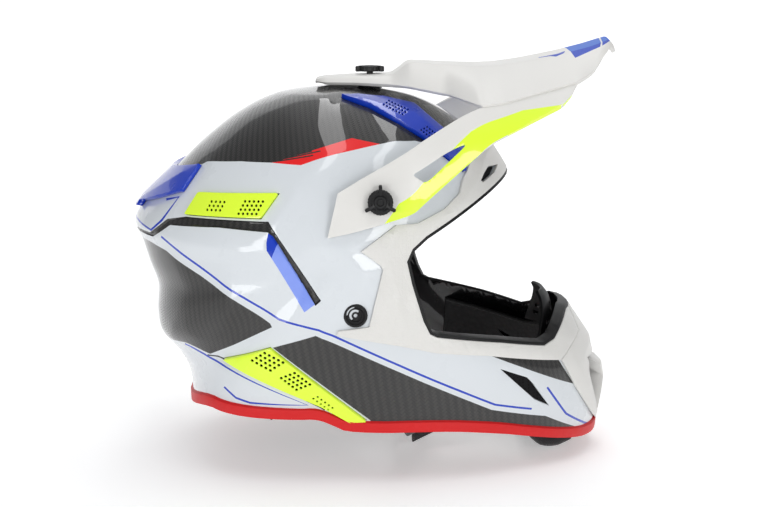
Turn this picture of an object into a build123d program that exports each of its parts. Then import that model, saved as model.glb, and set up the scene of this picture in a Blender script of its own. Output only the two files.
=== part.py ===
"""Motocross helmet: hard shell, energy liner, pads, vents, peak, chin strap.

Millimetres.  +X is the way the rider looks, +Y is the rider's left, +Z is up.
Everything is laid out about the ear pole, the point midway between the ears,
and moved once at the end so that the finished helmet stands on z = 0 with its
box centred on the Z axis.

The shell is a dome about the left-right axis: seen from the side it follows an
outline of radii, and its half-width falls from the ear pole to that outline as
a super-ellipse.  Panels, pads and trims are layers of that same dome, cut by
outlines drawn in the side view.
"""
from build123d import *
from math import cos, hypot, radians, sin
import os

# ---------------------------------------------------------------- driving sizes
SHELL_LENGTH = 357.0        # back of the shell to the front of the chin bar
SHELL_HEIGHT = 272.0        # crown to the underside of the chin
HALF_WIDTH = 125.0          # ear pole to the outside of the shell
SHELL_WALL = 3.0            # moulded composite
EPS_THICKNESS = 28.0        # energy foam of the crown
CHIN_FOAM = 18.0            # energy foam of the chin bar
LINER_THICKNESS = 9.0       # comfort liner
CHEEK_PAD = 32.0            # cheek pad
NECK_PAD = 20.0             # neck roll
LINER_SEAM = 35.0           # middle plane to the sewn seams of the liner
SEAM_GAP = 1.0              # pads apart at a seam
CURTAIN_HALF_WIDTH = 40.0   # chin curtain
TRIM_HEIGHT = 7.0           # rubber base trim, edge to top of its lip
RUBBER = 2.0                # wall of both rubber trims
EYEPORT_LIP = 5.0           # how far the eyeport gasket reaches over the shell
PANEL = 2.0                 # moulded covers on the shell
SPOILER_WALL = 3.0          # rear spoiler
VENT_RISE = 2.4             # how proud the vent housings stand
DUCT_WALL = 6.0             # foam left inside each vent outline
PEAK_THICKNESS = 2.8        # peak moulding
PEAK_UP = 2.5               # degrees the peak tips up from its rest place
PEAK_DOWN = 5.0             # degrees it tips down

SCREW_HEAD = 17.5           # thumb screw: disc
SCREW_FIN_REACH = 12.0      # thumb screw: axis to the end of a fin
SCREW_FIN = 2.6             # thumb screw: fin thickness
SCREW_HEAD_HEIGHT = 4.5
SCREW_DISC_HEIGHT = 2.7
SCREW_SHANK = 5.0
INSERT_OD = 11.0            # threaded insert moulded into the shell
INSERT_LENGTH = 9.0
BOSS_OD = 18.0              # rubber spacer between shell and peak
CUP_OD = 24.0               # boss of the peak round each side spacer
CUP_DEPTH = 3.5             # how far it reaches in over the spacer

CAP_OD = 16.7               # strap anchor cap
CAP_HEIGHT = 3.2
RIVET_OD = 8.0
RIVET_REACH = 3.0           # rivet end inside the strap plate's face
PLATE_DEPTH = 4.0           # strap plate inside the shell's wall
STRAP_WIDTH = 22.0
STRAP_THICKNESS = 1.5
STRAP_DROP = 108.0          # anchor to the buckle under the chin
STRAP_ANGLE = 26.5          # degrees forward of straight down
RING_WIRE = 3.0
RING_OPENING = 22.0
RING_LENGTH = 32.0          # along the strap's width
RING_OFFSET = 30.0          # middle plane to the buckle, on the rider's right
TAB_WIDTH = 12.0            # release tab
STUD_OD = 12.0
STUD_HEIGHT = 2.0

HOLE_OD = 3.0               # perforation of the vent housings
HOLE_PITCH = 4.6

# ---------------------------------------------------------------- clearances
GAP = 0.4                   # between neighbouring layers and panels
SLIP = 0.3                  # round a shank in a hole that turns or slides
LAP = 1.0                   # how far hidden meshes reach past what they close
EASE = 1.0                  # spare travel at each end of the top screw's slot
HEAD_LIFT = 1.0             # the deck rises this much under the top head as it tips

# ---------------------------------------------------------------- outlines
# Side-view points (x, z) about the ear pole, drawn for these sizes.
DRAWN_LENGTH = 357.0
DRAWN_HEIGHT = 272.0
DRAWN_HALF_WIDTH = 125.0
FAR = 420.0                 # beyond the helmet, for cutting shapes

# Angle from straight ahead, counter-clockwise over the crown, and radius.
OUTLINE = [
    (-176, 139.5), (-168, 135.5), (-160, 141.5), (-154, 144.5), (-146, 139), (-137, 147),
    (-126, 176), (-115, 203), (-103, 220), (-90, 228), (-76, 238), (-62, 250), (-50, 255),
    (-42, 250), (-36, 243), (-30, 229), (-25, 216), (-20, 202), (-15, 182), (-8, 166),
    (2, 152), (12, 143), (22, 139.5), (32, 137), (44, 131), (53, 127.8), (62, 124.5),
    (72, 120.5), (84, 118), (97, 117.5), (110, 118.8), (125, 120.5), (140, 124),
    (154, 131.5), (164, 142), (172, 150.5), (178, 144),
]
# Angle and super-ellipse power: round over the crown, fuller at the jaw.
FULLNESS = [
    (-180, 2.3), (-140, 2.6), (-110, 3.2), (-70, 3.2), (-45, 2.2), (-22, 1.9),
    (0, 2.0), (30, 2.15), (90, 2.3), (140, 2.3), (180, 2.3),
]
DOME_SLICES = (0.25, 0.5, 0.7, 0.85, 0.94, 0.985)   # shares of the half-width

EYEPORT = [
    (260, 100), (127.6, 54.9), (103.7, 40.6), (81.6, 27.2), (66.1, 18.1), (57, 10.3),
    (53.5, 2.5), (57, -12.6), (65.1, -38.2), (69.4, -46.9), (73.9, -49.2), (118.8, -56.6),
    (151.4, -63.6), (158.7, -60.8), (162.8, -55.6), (171, -46), (260, -46),
]
SURROUND = [
    (260, 118), (112, 77), (97.5, 66.3), (91.3, 54.7), (89, 46.2), (78.4, 36.7),
    (59.7, 28.3), (44.5, 27.8), (21, 10.4), (34.4, 0.5), (36, -2.6), (26.6, -41.7),
    (5.1, -44.5), (4.4, -47.3), (48, -55.3), (72.5, -61.2), (109.6, -65.8),
    (164.3, -77.2), (180, -62), (171, -40), (260, 0),
]
NOSE_COVER = [
    (171.8, -41), (180.8, -62), (165.2, -77.6), (176.3, -98.8), (193.9, -128.3),
    (200.9, -139.7), (260, -165), (260, -20),
]
BROW_VENT = [
    (109.7, 61.3), (118.4, 61), (115, 56.3), (105.6, 51.3), (103.5, 52.8), (105.9, 57),
]
CROWN_VENT = [
    (5.5, 111.3), (17.8, 111.6), (36.9, 110.4), (58.2, 105.7), (79, 88.7), (97.5, 73.4),
    (93.3, 60), (79, 71.3), (66, 82.5), (47.4, 93.9), (26.2, 104.5),
]
SIDE_EXHAUST = [(-92.8, 47), (-34.8, 49.6), (-47.6, 31.8), (-102.9, 31.3)]
LOWER_EXHAUST = [(-76.5, -68.5), (-41.9, -56.8), (25.5, -109.3), (12.7, -110), (-6.7, -98.6)]
CHIN_VENT = [(119.4, -77.2), (139.4, -85.9), (143.6, -90.5), (156.9, -109.7), (145.5, -103)]
CHANNEL = [
    (-128.5, 13.3), (-114.4, 23.5), (-42.2, 23), (-10.2, -26.8), (-6.3, -23.2),
    (-34.6, 18.5), (-42.3, 30.3), (-102.5, 30.3), (-116.8, 27.3), (-131, 15),
]
SPOILER = [
    (-121.6, 57.1), (-92.8, 63.7), (-104.9, 45.7), (-109.9, 44.2), (-138.2, 33.8),
    (-140.8, 30.3), (-190, 26), (-190, 75),
]
# Lower edge of the base trim, from behind the neck to under the chin.
BASE_LINE = [
    (-220, -125), (-117.7, -119), (-91.1, -103), (-72, -106.7), (-23.2, -107.7),
    (-9.6, -106.9), (1.6, -111.6), (12.7, -117), (77.1, -117), (113.8, -122),
    (173.4, -139.5), (185, -155.5), (260, -155.5),
]
CROWN_FOAM_OUTLINE = [
    (220, 110), (133, 67.5), (101, 48.5), (79, 34.5), (62, 23), (50, 13.5), (45.5, 2.5),
    (40, -13), (-20, -14), (-64, -30), (-100, -46), (-220, -46), (-220, 220), (220, 220),
]
LINER_OUTLINE = [
    (220, 112), (133, 68), (99, 51), (76, 38), (58, 27), (44, 15), (37, 4),
    (33, -6), (-20, -8), (-64, -22), (-100, -38), (-220, -38), (-220, 220), (220, 220),
]
CHEEK_OUTLINE = [
    (46, -24), (52, -40), (62, -60), (66, -80), (58, -93), (30, -100), (10, -101),
    (-8, -103), (-22, -117), (-50, -121), (-66, -116), (-64, -62), (-40, -42), (20, -22),
]
NECK_OUTLINE = [
    (-72, -66), (-70, -100), (-80, -97), (-92, -94), (-118, -108), (-170, -112), (-170, -66),
]
CHIN_FOAM_OUTLINE = [
    (88, -64), (150, -76), (172, -72), (184, -76), (215, -95), (215, -138), (176, -128),
    (160, -123), (113.8, -111), (86, -107),
]
CURTAIN_OUTLINE = [
    (136, -126), (142.4, -142.5), (150.6, -150.8), (157, -154.5), (164.4, -154.3),
    (178.2, -149.6), (182, -147), (172, -128),
]

PEAK_PIVOT = (34.5, 45.5)   # side screws, which the peak tips about
TOP_SCREW_X = 26.6          # screw through the slot in the peak's tongue
SHELL_TOP = 116.5           # outside of the shell at that screw
SPACER_ROOM = 2.2           # deck dips this much round the top spacer as it tips
ARM_SEAT = 126.2            # drawn half-width of the arm's inner face at the side screw
STRAP_ANCHOR = (17.3, -34.0)
MOUTH_HALF_WIDTH = 27.0     # mouth vent, seen from the front
MOUTH_TOP = -84.0
MOUTH_BOTTOM = -128.0
MOUTH_BAR_HALF_WIDTH = 8.5
MOUTH_ARM = 8.0             # height of the bar's cross arm
MESH_WALL = 1.5

# Breath deflector: stations from its foot, (z, x at the middle, radius of its bow).
GUARD_STATIONS = [(-70, 163.5, 62), (-60, 165, 58), (-50, 165, 48), (-42, 163, 38), (-35, 159, 26)]
GUARD_TURN = 54.0           # degrees that its bow turns to each side
GUARD_COLUMNS = 6

# Peak arm: stations from the rear, each the lower and the upper edge, (x, y, z).
ARM_STATIONS = [
    ((-1.7, 127.4, 20.4), (5.4, 125.8, 51)),
    ((14.7, 127.2, 23.8), (20, 124.4, 60)),
    ((36.8, 126.4, 30.1), (38, 121.2, 70)),
    ((57.3, 123.8, 36.5), (55, 117, 80)),
    ((65.9, 123, 44.4), (68, 113, 88.5)),
    ((97.4, 115, 71.8), (89, 105, 101)),
    ((110.3, 111, 83.1), (104.5, 97, 107.6)),
    ((133.6, 105, 95.3), (120, 90.5, 109)),
    ((150, 98, 103.5), (140, 82.5, 114)),
    ((161.5, 92, 108.8), (162, 75.5, 119.7)),
    ((169, 82, 115.2), (173.5, 71.5, 122.7)),
]
ARM_WINDOW = [(55.6, 63.2), (66.8, 57.6), (95.3, 84.4), (80.4, 78.5)]
# Peak deck: stations from the rear, (x, centre z, ridge y, ridge z, edge y, edge z).
DECK_STATIONS = [
    (-13.4, 122.6, 11, 122.2, 14, 121),
    (-7.5, 124.4, 15, 124, 22, 120.6),
    (16.6, 125.6, 18, 125.4, 27, 120.6),
    (43, 126.4, 21, 126.2, 36, 119.8),
    (55, 135.8, 26, 135.4, 43, 118.6),
    (82, 134.8, 30, 134, 56, 114.2),
    (104.5, 134.4, 34, 133, 98, 108.6),
    (120, 135, 35, 133.6, 91.5, 110),
    (140, 138, 34, 136.6, 83.5, 115),
    (162, 142.4, 33, 141, 76.5, 120.7),
    (174, 145.4, 32, 143.6, 72.5, 123.7),
    (186, 148.6, 30, 146.6, 60, 129.5),
    (195, 151.6, 26, 149.4, 44, 140),
    (204, 154.3, 16, 152.4, 27, 148.4),
    (206.5, 146.5, 15, 145.5, 24, 143.5),
]


# ---------------------------------------------------------------- layout
def place(x, z):
    """A drawn side-view point, at the helmet's own length and height."""
    return x * SHELL_LENGTH / DRAWN_LENGTH, z * SHELL_HEIGHT / DRAWN_HEIGHT


def between(table, angle):
    """Straight-line value of an (angle, value) table."""
    for (a0, v0), (a1, v1) in zip(table, table[1:]):
        if a0 <= angle <= a1:
            return v0 + (v1 - v0) * (angle - a0) / (a1 - a0)
    return table[-1][1]


def wide(y):
    """A drawn half-width, at the helmet's own width."""
    return y * HALF_WIDTH / DRAWN_HALF_WIDTH


_domes = {}


def dome(offset):
    """The solid inside the shell's outer surface moved out by offset."""
    if offset not in _domes:
        spans = [(angle - OUTLINE[0][0]) / 360 for angle, _ in OUTLINE] + [1.0]
        shares = [-s for s in reversed(DOME_SLICES)] + [0.0] + list(DOME_SLICES)
        wires = []
        for share in shares:
            points = []
            for angle, radius in OUTLINE:
                x, z = place(radius * cos(radians(angle)), radius * sin(radians(angle)))
                power = between(FULLNESS, angle)
                shrink = (1 - abs(share) ** power) ** (1 / power)
                reach = (hypot(x, z) + offset) * shrink / hypot(x, z)
                points.append(Vector(x * reach, share * (HALF_WIDTH + offset), z * reach))
            wires.append(Wire([Edge.make_spline(points, periodic=True, parameters=spans)]))
        _domes[offset] = Solid.make_loft(wires)
    return _domes[offset]


def layer(inner, outer):
    return dome(outer) - dome(inner)


def outline_face(points, grow=0.0):
    """Side-view outline as a face in the XZ plane, grown or shrunk."""
    face = Face(Wire.make_polygon([Vector(*place(x, z)) for x, z in points]))
    if grow:
        face = offset(face, amount=grow, kind=Kind.INTERSECTION).face()
    return Plane.XZ * face


def prism(points, grow=0.0, both=False):
    """Outline run across the right half of the helmet, or across all of it."""
    return extrude(outline_face(points, grow), amount=FAR, dir=(0, -1, 0), both=both)


def panel(points, inner, outer, grow=0.0, both=False):
    return layer(inner, outer) & prism(points, grow, both)


def left_of(shape):
    return mirror(shape, about=Plane.XZ)


def across(shape):
    """A right-hand shape with its mirror image, for cutting both sides at once."""
    return [shape, left_of(shape)]


def side_rod(point, diameter, y_from, y_to):
    """Round rod along Y on the right side, at distances y_from to y_to outwards."""
    x, z = place(*point)
    rod = Cylinder(diameter / 2, y_to - y_from, rotation=(90, 0, 0))
    return Pos(x, -(y_from + y_to) / 2, z) * rod


def top_rod(diameter, z_from, z_to):
    x, _ = place(TOP_SCREW_X, 0)
    return Pos(x, 0, (z_from + z_to) / 2) * Cylinder(diameter / 2, z_to - z_from)


def front_block(half_width, z_low, z_high):
    """Block across the front of the chin, between two drawn heights."""
    x, low = place(150, z_low)
    _, high = place(150, z_high)
    return Pos(x + FAR / 2, 0, (low + high) / 2) * Box(FAR, 2 * half_width, high - low)


def above_base(rise):
    """Everything above the base line moved up by rise."""
    points = [(x, z + rise) for x, z in BASE_LINE] + [(260, 300), (-220, 300)]
    return prism(points, both=True)


def perforations(points, rows):
    """Staggered round holes along Y inside an outline, clear of its edges."""
    field = outline_face(points, -HOLE_OD)
    box = field.bounding_box()
    pitch_z = HOLE_PITCH * 0.87
    holes = []
    for row in range(rows):
        z = (box.min.Z + box.max.Z) / 2 + (row - (rows - 1) / 2) * pitch_z
        count = int((box.max.X - box.min.X) / HOLE_PITCH)
        for column in range(count):
            x = box.min.X + (column + 0.25 + 0.5 * (row % 2)) * HOLE_PITCH
            if field.distance_to(Vertex(x, 0, z)) < 1e-3:
                rod = Cylinder(HOLE_OD / 2, FAR, rotation=(90, 0, 0))
                holes.append(Pos(x, -FAR / 2 - GAP, z) * rod)
    return holes


def thick_sheet(rows, thickness):
    """Closed faceted solid from a grid of outer points, thickened inwards."""
    last_row = len(rows) - 1
    last_column = len(rows[0]) - 1

    def inner_point(i, j):
        down = rows[min(i + 1, last_row)][j] - rows[max(i - 1, 0)][j]
        across_row = rows[i][min(j + 1, last_column)] - rows[i][max(j - 1, 0)]
        return rows[i][j] - down.cross(across_row).normalized() * thickness

    inner = [[inner_point(i, j) for j in range(last_column + 1)] for i in range(last_row + 1)]
    faces = []

    def quad(a, b, c, d):
        faces.append(Face(Wire.make_polygon([a, b, c])))
        faces.append(Face(Wire.make_polygon([a, c, d])))

    for i in range(last_row):
        for j in range(last_column):
            for grid in (rows, inner):
                quad(grid[i][j], grid[i][j + 1], grid[i + 1][j + 1], grid[i + 1][j])
        for j in (0, last_column):
            quad(rows[i][j], inner[i][j], inner[i + 1][j], rows[i + 1][j])
    for j in range(last_column):
        for i in (0, last_row):
            quad(rows[i][j], inner[i][j], inner[i][j + 1], rows[i][j + 1])
    return Solid(Shell(faces)).fix()


# ---------------------------------------------------------------- derived places
SHELL_INSIDE = -SHELL_WALL - GAP
FOAM_INSIDE = SHELL_INSIDE - EPS_THICKNESS
FLAT_SHARE = DOME_SLICES[-1]                 # the dome is flat round the ear pole
PEAK_FACE = wide(ARM_SEAT) + PEAK_THICKNESS  # outer face of the arm at the side screw
BOSS_FACE = PEAK_FACE - PEAK_THICKNESS - GAP
INSERT_FACE = wide(112.0)
RIVET_FACE = (HALF_WIDTH + GAP) * FLAT_SHARE
STRAP_FACE = RIVET_FACE - SHELL_WALL - PLATE_DEPTH
CHEEK_FACE = STRAP_FACE - 2.5 * STRAP_THICKNESS - 2 * SLIP
TOP_FACE = place(0, DECK_STATIONS[3][3])[1]


def screw_axis(diameter, start, end):
    """Right, left and top rods on the three peak screw axes."""
    side = side_rod(PEAK_PIVOT, diameter, start, end)
    return [side, left_of(side)]


# ---------------------------------------------------------------- hard parts
def make_shell():
    mouth = front_block(MOUTH_HALF_WIDTH + GAP, MOUTH_BOTTOM, MOUTH_TOP)
    shell = layer(-SHELL_WALL, 0) & above_base(RUBBER + GAP)
    shell -= prism(EYEPORT, both=True)
    shell -= mouth
    for outline in (CROWN_VENT, SIDE_EXHAUST, LOWER_EXHAUST, CHIN_VENT, BROW_VENT):
        shell -= across(prism(outline))
    shell -= across(panel(CHANNEL, -SHELL_WALL / 2, VENT_RISE) - prism(SIDE_EXHAUST, grow=2 * LAP))
    shell -= screw_axis(INSERT_OD + SLIP, 0, FAR)
    shell -= top_rod(INSERT_OD + SLIP, 0, FAR)
    shell -= across(side_rod(STRAP_ANCHOR, RIVET_OD + SLIP, 0, FAR))
    return shell


def make_crown_foam():
    foam = panel(CROWN_FOAM_OUTLINE, FOAM_INSIDE, SHELL_INSIDE, both=True)
    foam -= screw_axis(INSERT_OD + 2 * GAP, 0, FAR)
    foam -= top_rod(INSERT_OD + 2 * GAP, 0, FAR)
    for outline in (CROWN_VENT, SIDE_EXHAUST):
        foam -= across(prism(outline, grow=-DUCT_WALL))
    return foam


def make_chin_foam():
    foam = panel(CHIN_FOAM_OUTLINE, SHELL_INSIDE - CHIN_FOAM, SHELL_INSIDE, both=True)
    foam -= front_block(MOUTH_HALF_WIDTH + 2 * LAP, MOUTH_BOTTOM - 2 * LAP, MOUTH_TOP + 2 * LAP)
    foam -= across(prism(CHIN_VENT, grow=-2 * LAP))
    return foam


def make_liner():
    """Crown pad and two side pads, apart at the seams that join them."""
    inside = FOAM_INSIDE - GAP
    liner = panel(LINER_OUTLINE, inside - LINER_THICKNESS, inside, both=True)
    seam = Box(2 * FAR, SEAM_GAP, 2 * FAR)
    return liner - [Pos(0, side * LINER_SEAM, 0) * seam for side in (-1, 1)]


def make_cheek_pad():
    """Right cheek pad: it leaves the strap's channel free next to the shell."""
    outside = CHEEK_FACE / FLAT_SHARE - HALF_WIDTH
    return panel(CHEEK_OUTLINE, outside - CHEEK_PAD, outside)


def make_neck_roll():
    outside = SHELL_INSIDE - RUBBER - 2 * GAP
    return panel(NECK_OUTLINE, outside - NECK_PAD, outside, both=True)


def make_gasket():
    lip = prism(EYEPORT, grow=EYEPORT_LIP, both=True) - prism(EYEPORT, grow=-RUBBER, both=True)
    groove = layer(SHELL_INSIDE, GAP) - prism(EYEPORT, grow=-GAP, both=True)
    return (layer(SHELL_INSIDE - RUBBER, GAP + PANEL) & lip) - groove


def make_base_trim():
    band = layer(SHELL_INSIDE - RUBBER, GAP + RUBBER) & above_base(0)
    band -= above_base(TRIM_HEIGHT)
    return band - (layer(SHELL_INSIDE, GAP) & above_base(RUBBER))


def make_surround():
    cover = panel(SURROUND, GAP, GAP + PANEL, both=True)
    cover -= prism(EYEPORT, grow=EYEPORT_LIP + GAP, both=True)
    cover -= prism(NOSE_COVER, grow=GAP, both=True)
    cover -= across(prism(CROWN_VENT, grow=GAP))
    cover -= across(prism(BROW_VENT))
    return cover


def make_nose_cover():
    cover = panel(NOSE_COVER, GAP, GAP + PANEL, both=True)
    cover -= prism(EYEPORT, grow=EYEPORT_LIP + GAP, both=True)
    cover -= front_block(MOUTH_HALF_WIDTH, MOUTH_BOTTOM, MOUTH_TOP)
    return cover & above_base(TRIM_HEIGHT + GAP)


def make_mouth_bar():
    """Upright bar with a cross arm, standing in the mouth vent."""
    upright = front_block(MOUTH_BAR_HALF_WIDTH, MOUTH_BOTTOM + LAP, MOUTH_TOP - LAP)
    arm = front_block(MOUTH_HALF_WIDTH - GAP, MOUTH_TOP - LAP - MOUTH_ARM, MOUTH_TOP - LAP)
    return layer(-SHELL_WALL, GAP + PANEL + LAP) & (upright + arm)


def make_mouth_mesh():
    mesh = layer(SHELL_INSIDE - MESH_WALL, SHELL_INSIDE)
    return mesh & front_block(MOUTH_HALF_WIDTH + LAP, MOUTH_BOTTOM - LAP, MOUTH_TOP + LAP)


def vent_housing(outline, rows):
    housing = panel(outline, -SHELL_WALL / 3, VENT_RISE, grow=-GAP)
    return housing - perforations(outline, rows)


def vent_mesh(outline):
    return panel(outline, -SHELL_WALL + GAP, -SHELL_WALL / 3 - GAP, grow=-GAP)


def make_spoiler():
    return panel(SPOILER, GAP, GAP + SPOILER_WALL, both=True)


def make_nose_guard():
    """Breath deflector standing inside the chin bar, above its front edge."""
    rows = []
    for rise, reach, half_span in GUARD_STATIONS:
        row = []
        for step in range(-GUARD_COLUMNS, GUARD_COLUMNS + 1):
            turn = radians(step * GUARD_TURN / GUARD_COLUMNS)
            x, z = place(reach - 0.5 * half_span * (1 - cos(turn)), rise)
            row.append(Vector(x, wide(half_span) * sin(turn), z))
        rows.append(row)
    return thick_sheet(rows, PANEL)


def make_curtain():
    outside = SHELL_INSIDE - RUBBER - 2 * GAP
    middle = Box(2 * FAR, 2 * CURTAIN_HALF_WIDTH, 2 * FAR)
    return panel(CURTAIN_OUTLINE, -FAR / 5, outside, both=True) & middle


# ---------------------------------------------------------------- peak
def peak_point(x, y, z, side=-1):
    px, pz = place(x, z)
    return Vector(px, side * wide(y), pz)


def make_peak():
    arm_rows = []
    for lower, upper in ARM_STATIONS:
        low = peak_point(*lower)
        high = peak_point(*upper)
        arm_rows.append([low + (high - low) * share for share in (0, 0.35, 0.7, 1)])
    arm = thick_sheet(arm_rows, -PEAK_THICKNESS)
    arm -= prism(ARM_WINDOW)
    spacer_room = side_rod(PEAK_PIVOT, BOSS_OD + 2 * GAP, 0, BOSS_FACE + GAP)
    cup = side_rod(PEAK_PIVOT, CUP_OD, BOSS_FACE - CUP_DEPTH, PEAK_FACE)
    arm = arm + cup - spacer_room
    deck_rows = []
    for x, centre, ridge_y, ridge_z, edge_y, edge_z in DECK_STATIONS:
        half = [(edge_y, edge_z), ((ridge_y + edge_y) / 2, (ridge_z + edge_z) / 2 + 0.6),
                (ridge_y, ridge_z), (ridge_y / 2, (ridge_z + centre) / 2 + 0.2)]
        row = []
        for side, points in ((-1, half), (1, half[::-1])):
            for y, z in points:
                row.append(peak_point(x, y, z, side))
            if side < 0:
                row.append(peak_point(x, 0, centre))
        deck_rows.append(row)
    peak = thick_sheet(deck_rows, PEAK_THICKNESS)
    peak += arm
    peak += left_of(arm)
    peak -= screw_axis(SCREW_SHANK + 2 * SLIP, 0, FAR)
    return peak - top_slot()


def top_slot():
    """Slot that lets the peak slide past the top screw as it tips."""
    drop = TOP_FACE - place(*PEAK_PIVOT)[1]
    back = drop * sin(radians(PEAK_DOWN)) + EASE
    ahead = drop * sin(radians(PEAK_UP)) + EASE
    width = SCREW_SHANK + 2 * SLIP
    x, _ = place(TOP_SCREW_X, 0)
    slot = SlotCenterToCenter(back + ahead, width)
    return extrude(Pos(x + (ahead - back) / 2, 0, TOP_FACE) * slot, amount=CUP_OD / 2, both=True)


ON_BASE = (Align.CENTER, Align.CENTER, Align.MIN)


def thumb_screw():
    """Three-finned thumb screw: head on +Z from z = 0, shank below."""
    head = Cylinder(SCREW_HEAD / 2, SCREW_DISC_HEIGHT, align=ON_BASE)
    fin = Pos(SCREW_FIN_REACH / 2, 0, 0) * Box(SCREW_FIN_REACH, SCREW_FIN, SCREW_HEAD_HEIGHT, align=ON_BASE)
    for turn in (0, 120, 240):
        head += Rot(0, 0, turn) * fin
    return head


def side_screw():
    x, z = place(*PEAK_PIVOT)
    shank = side_rod(PEAK_PIVOT, SCREW_SHANK, INSERT_FACE - INSERT_LENGTH + LAP, PEAK_FACE + GAP)
    head = Pos(x, -PEAK_FACE - GAP, z) * Rot(90, 0, 0) * Rot(0, 0, 90) * thumb_screw()
    return shank + head


def top_screw():
    x, _ = place(TOP_SCREW_X, 0)
    seat = TOP_FACE + HEAD_LIFT
    shank = top_rod(SCREW_SHANK, insert_top() - INSERT_LENGTH + LAP, seat)
    return shank + Pos(x, 0, seat) * thumb_screw()


def insert_top():
    return place(0, SHELL_TOP)[1] - SHELL_WALL


def make_inserts():
    """Threaded inserts of the three peak screws, let into the shell."""
    bore = SCREW_SHANK + 2 * SLIP
    side = side_rod(PEAK_PIVOT, INSERT_OD, INSERT_FACE - INSERT_LENGTH, INSERT_FACE)
    side -= side_rod(PEAK_PIVOT, bore, 0, FAR)
    top = top_rod(INSERT_OD, insert_top() - INSERT_LENGTH, insert_top()) - top_rod(bore, 0, FAR)
    return [side, left_of(side), top]


def make_spacers():
    """Rubber spacers between the shell and the peak, round each screw."""
    bore = SCREW_SHANK + 2 * SLIP
    side = side_rod(PEAK_PIVOT, BOSS_OD, INSERT_FACE + GAP, BOSS_FACE) - dome(GAP)
    side -= side_rod(PEAK_PIVOT, bore, 0, FAR)
    top_end = TOP_FACE - PEAK_THICKNESS - SPACER_ROOM
    top = top_rod(BOSS_OD, insert_top() - INSERT_LENGTH, top_end) - dome(GAP) - top_rod(bore, 0, FAR)
    return [side, left_of(side), top]


# ---------------------------------------------------------------- chin strap
def strap_plane(reach_forward=0.0):
    """Plane of the hanging strap: x to the rider's left, y up along the strap."""
    x, z = place(*STRAP_ANCHOR)
    lean = radians(STRAP_ANGLE)
    forward = Vector(cos(lean), 0, sin(lean))
    return Plane(origin=Vector(x, 0, z) + forward * reach_forward,
                 x_dir=(1e-9, 1, 0), z_dir=(cos(lean), 0, sin(lean)))


def ribbon(points, width, bends, reach_forward=0.0):
    """Webbing along a path drawn in the strap's plane, width across it."""
    line = FilletPolyline(*points, radius=bends)
    face = trace(line, line_width=STRAP_THICKNESS)
    return extrude(strap_plane(reach_forward) * face, amount=width / 2, both=True)


def make_anchor_cap():
    cap = side_rod(STRAP_ANCHOR, CAP_OD, RIVET_FACE, RIVET_FACE + CAP_HEIGHT)
    cap -= side_rod(STRAP_ANCHOR, CAP_OD / 2, RIVET_FACE + CAP_HEIGHT / 2, FAR)
    cap += side_rod(STRAP_ANCHOR, CAP_OD / 3, RIVET_FACE, RIVET_FACE + CAP_HEIGHT)
    return cap + side_rod(STRAP_ANCHOR, RIVET_OD, STRAP_FACE - RIVET_REACH, RIVET_FACE)


def make_strap_plate():
    plate = side_rod(STRAP_ANCHOR, STRAP_WIDTH, STRAP_FACE - STRAP_THICKNESS, STRAP_FACE)
    return plate - side_rod(STRAP_ANCHOR, RIVET_OD + 2 * SLIP, 0, FAR)


RING_MIDDLE = -RING_OFFSET
LOOP_SIDE = RING_OPENING / 2 - STRAP_THICKNESS / 2 - GAP
LOOP_TOP = -STRAP_DROP + RING_WIRE + GAP + STRAP_THICKNESS / 2
LOOP_BOTTOM = -STRAP_DROP - RING_WIRE - GAP * 2 - STRAP_THICKNESS / 2


def make_strap(side, tail):
    """One half of the strap: anchor, round the near bar of both rings, and back."""
    leg = STRAP_FACE - 2 * STRAP_THICKNESS
    turn = RING_MIDDLE + side * LOOP_SIDE
    points = [(side * leg, -STRAP_WIDTH / 2 - GAP), (side * leg, -STRAP_DROP * 0.72),
              (side * leg * 0.72, LOOP_TOP), (turn, LOOP_TOP), (turn, LOOP_BOTTOM),
              (turn + side * tail, LOOP_BOTTOM)]
    return ribbon(points, STRAP_WIDTH, (14, 14, 1.2, 1.2))


def make_rings():
    """Two flat D rings, one on the other, in the plane of the buckle."""
    outer = RectangleRounded(RING_OPENING + 2 * RING_WIRE, RING_LENGTH, 2 * RING_WIRE)
    inner = RectangleRounded(RING_OPENING, RING_LENGTH - 2 * RING_WIRE, RING_WIRE)
    base = strap_plane()
    rings = []
    for drop in (0, RING_WIRE + GAP):
        flat = Plane(origin=base.from_local_coords((RING_MIDDLE, -STRAP_DROP - drop + RING_WIRE, 0)),
                     x_dir=(1e-9, 1, 0), z_dir=base.y_dir * -1)
        rings.append(extrude(flat * (outer - inner), amount=RING_WIRE))
    return rings


def make_release_tab():
    """Short red webbing loop round the front bar of both rings."""
    base = strap_plane()
    bar = RING_LENGTH / 2 - RING_WIRE
    side_view = Plane(origin=base.from_local_coords((RING_MIDDLE, 0, 0)),
                      x_dir=base.z_dir, z_dir=(0, -1, 0))
    inside = bar - GAP - STRAP_THICKNESS / 2
    line = FilletPolyline((bar + 22, LOOP_BOTTOM + 2), (bar + RING_WIRE + 4, LOOP_TOP),
                          (inside, LOOP_TOP), (inside, LOOP_BOTTOM),
                          (bar + 24, LOOP_BOTTOM - 0.4), radius=(1, 1.2, 1.2))
    return extrude(side_view * trace(line, line_width=STRAP_THICKNESS), amount=TAB_WIDTH / 2, both=True)


def make_snap():
    """Press stud that holds the loose end of the strap, through both layers."""
    base = strap_plane()
    middle = base.from_local_coords((RING_MIDDLE + LOOP_SIDE + 38, LOOP_BOTTOM, 0))
    down = Plane(origin=middle, x_dir=(1e-9, 1, 0), z_dir=base.y_dir * -1)
    stud = Cylinder(STUD_OD / 2, STUD_HEIGHT, align=ON_BASE)
    return down * Pos(0, 0, STRAP_THICKNESS / 2) * stud


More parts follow.
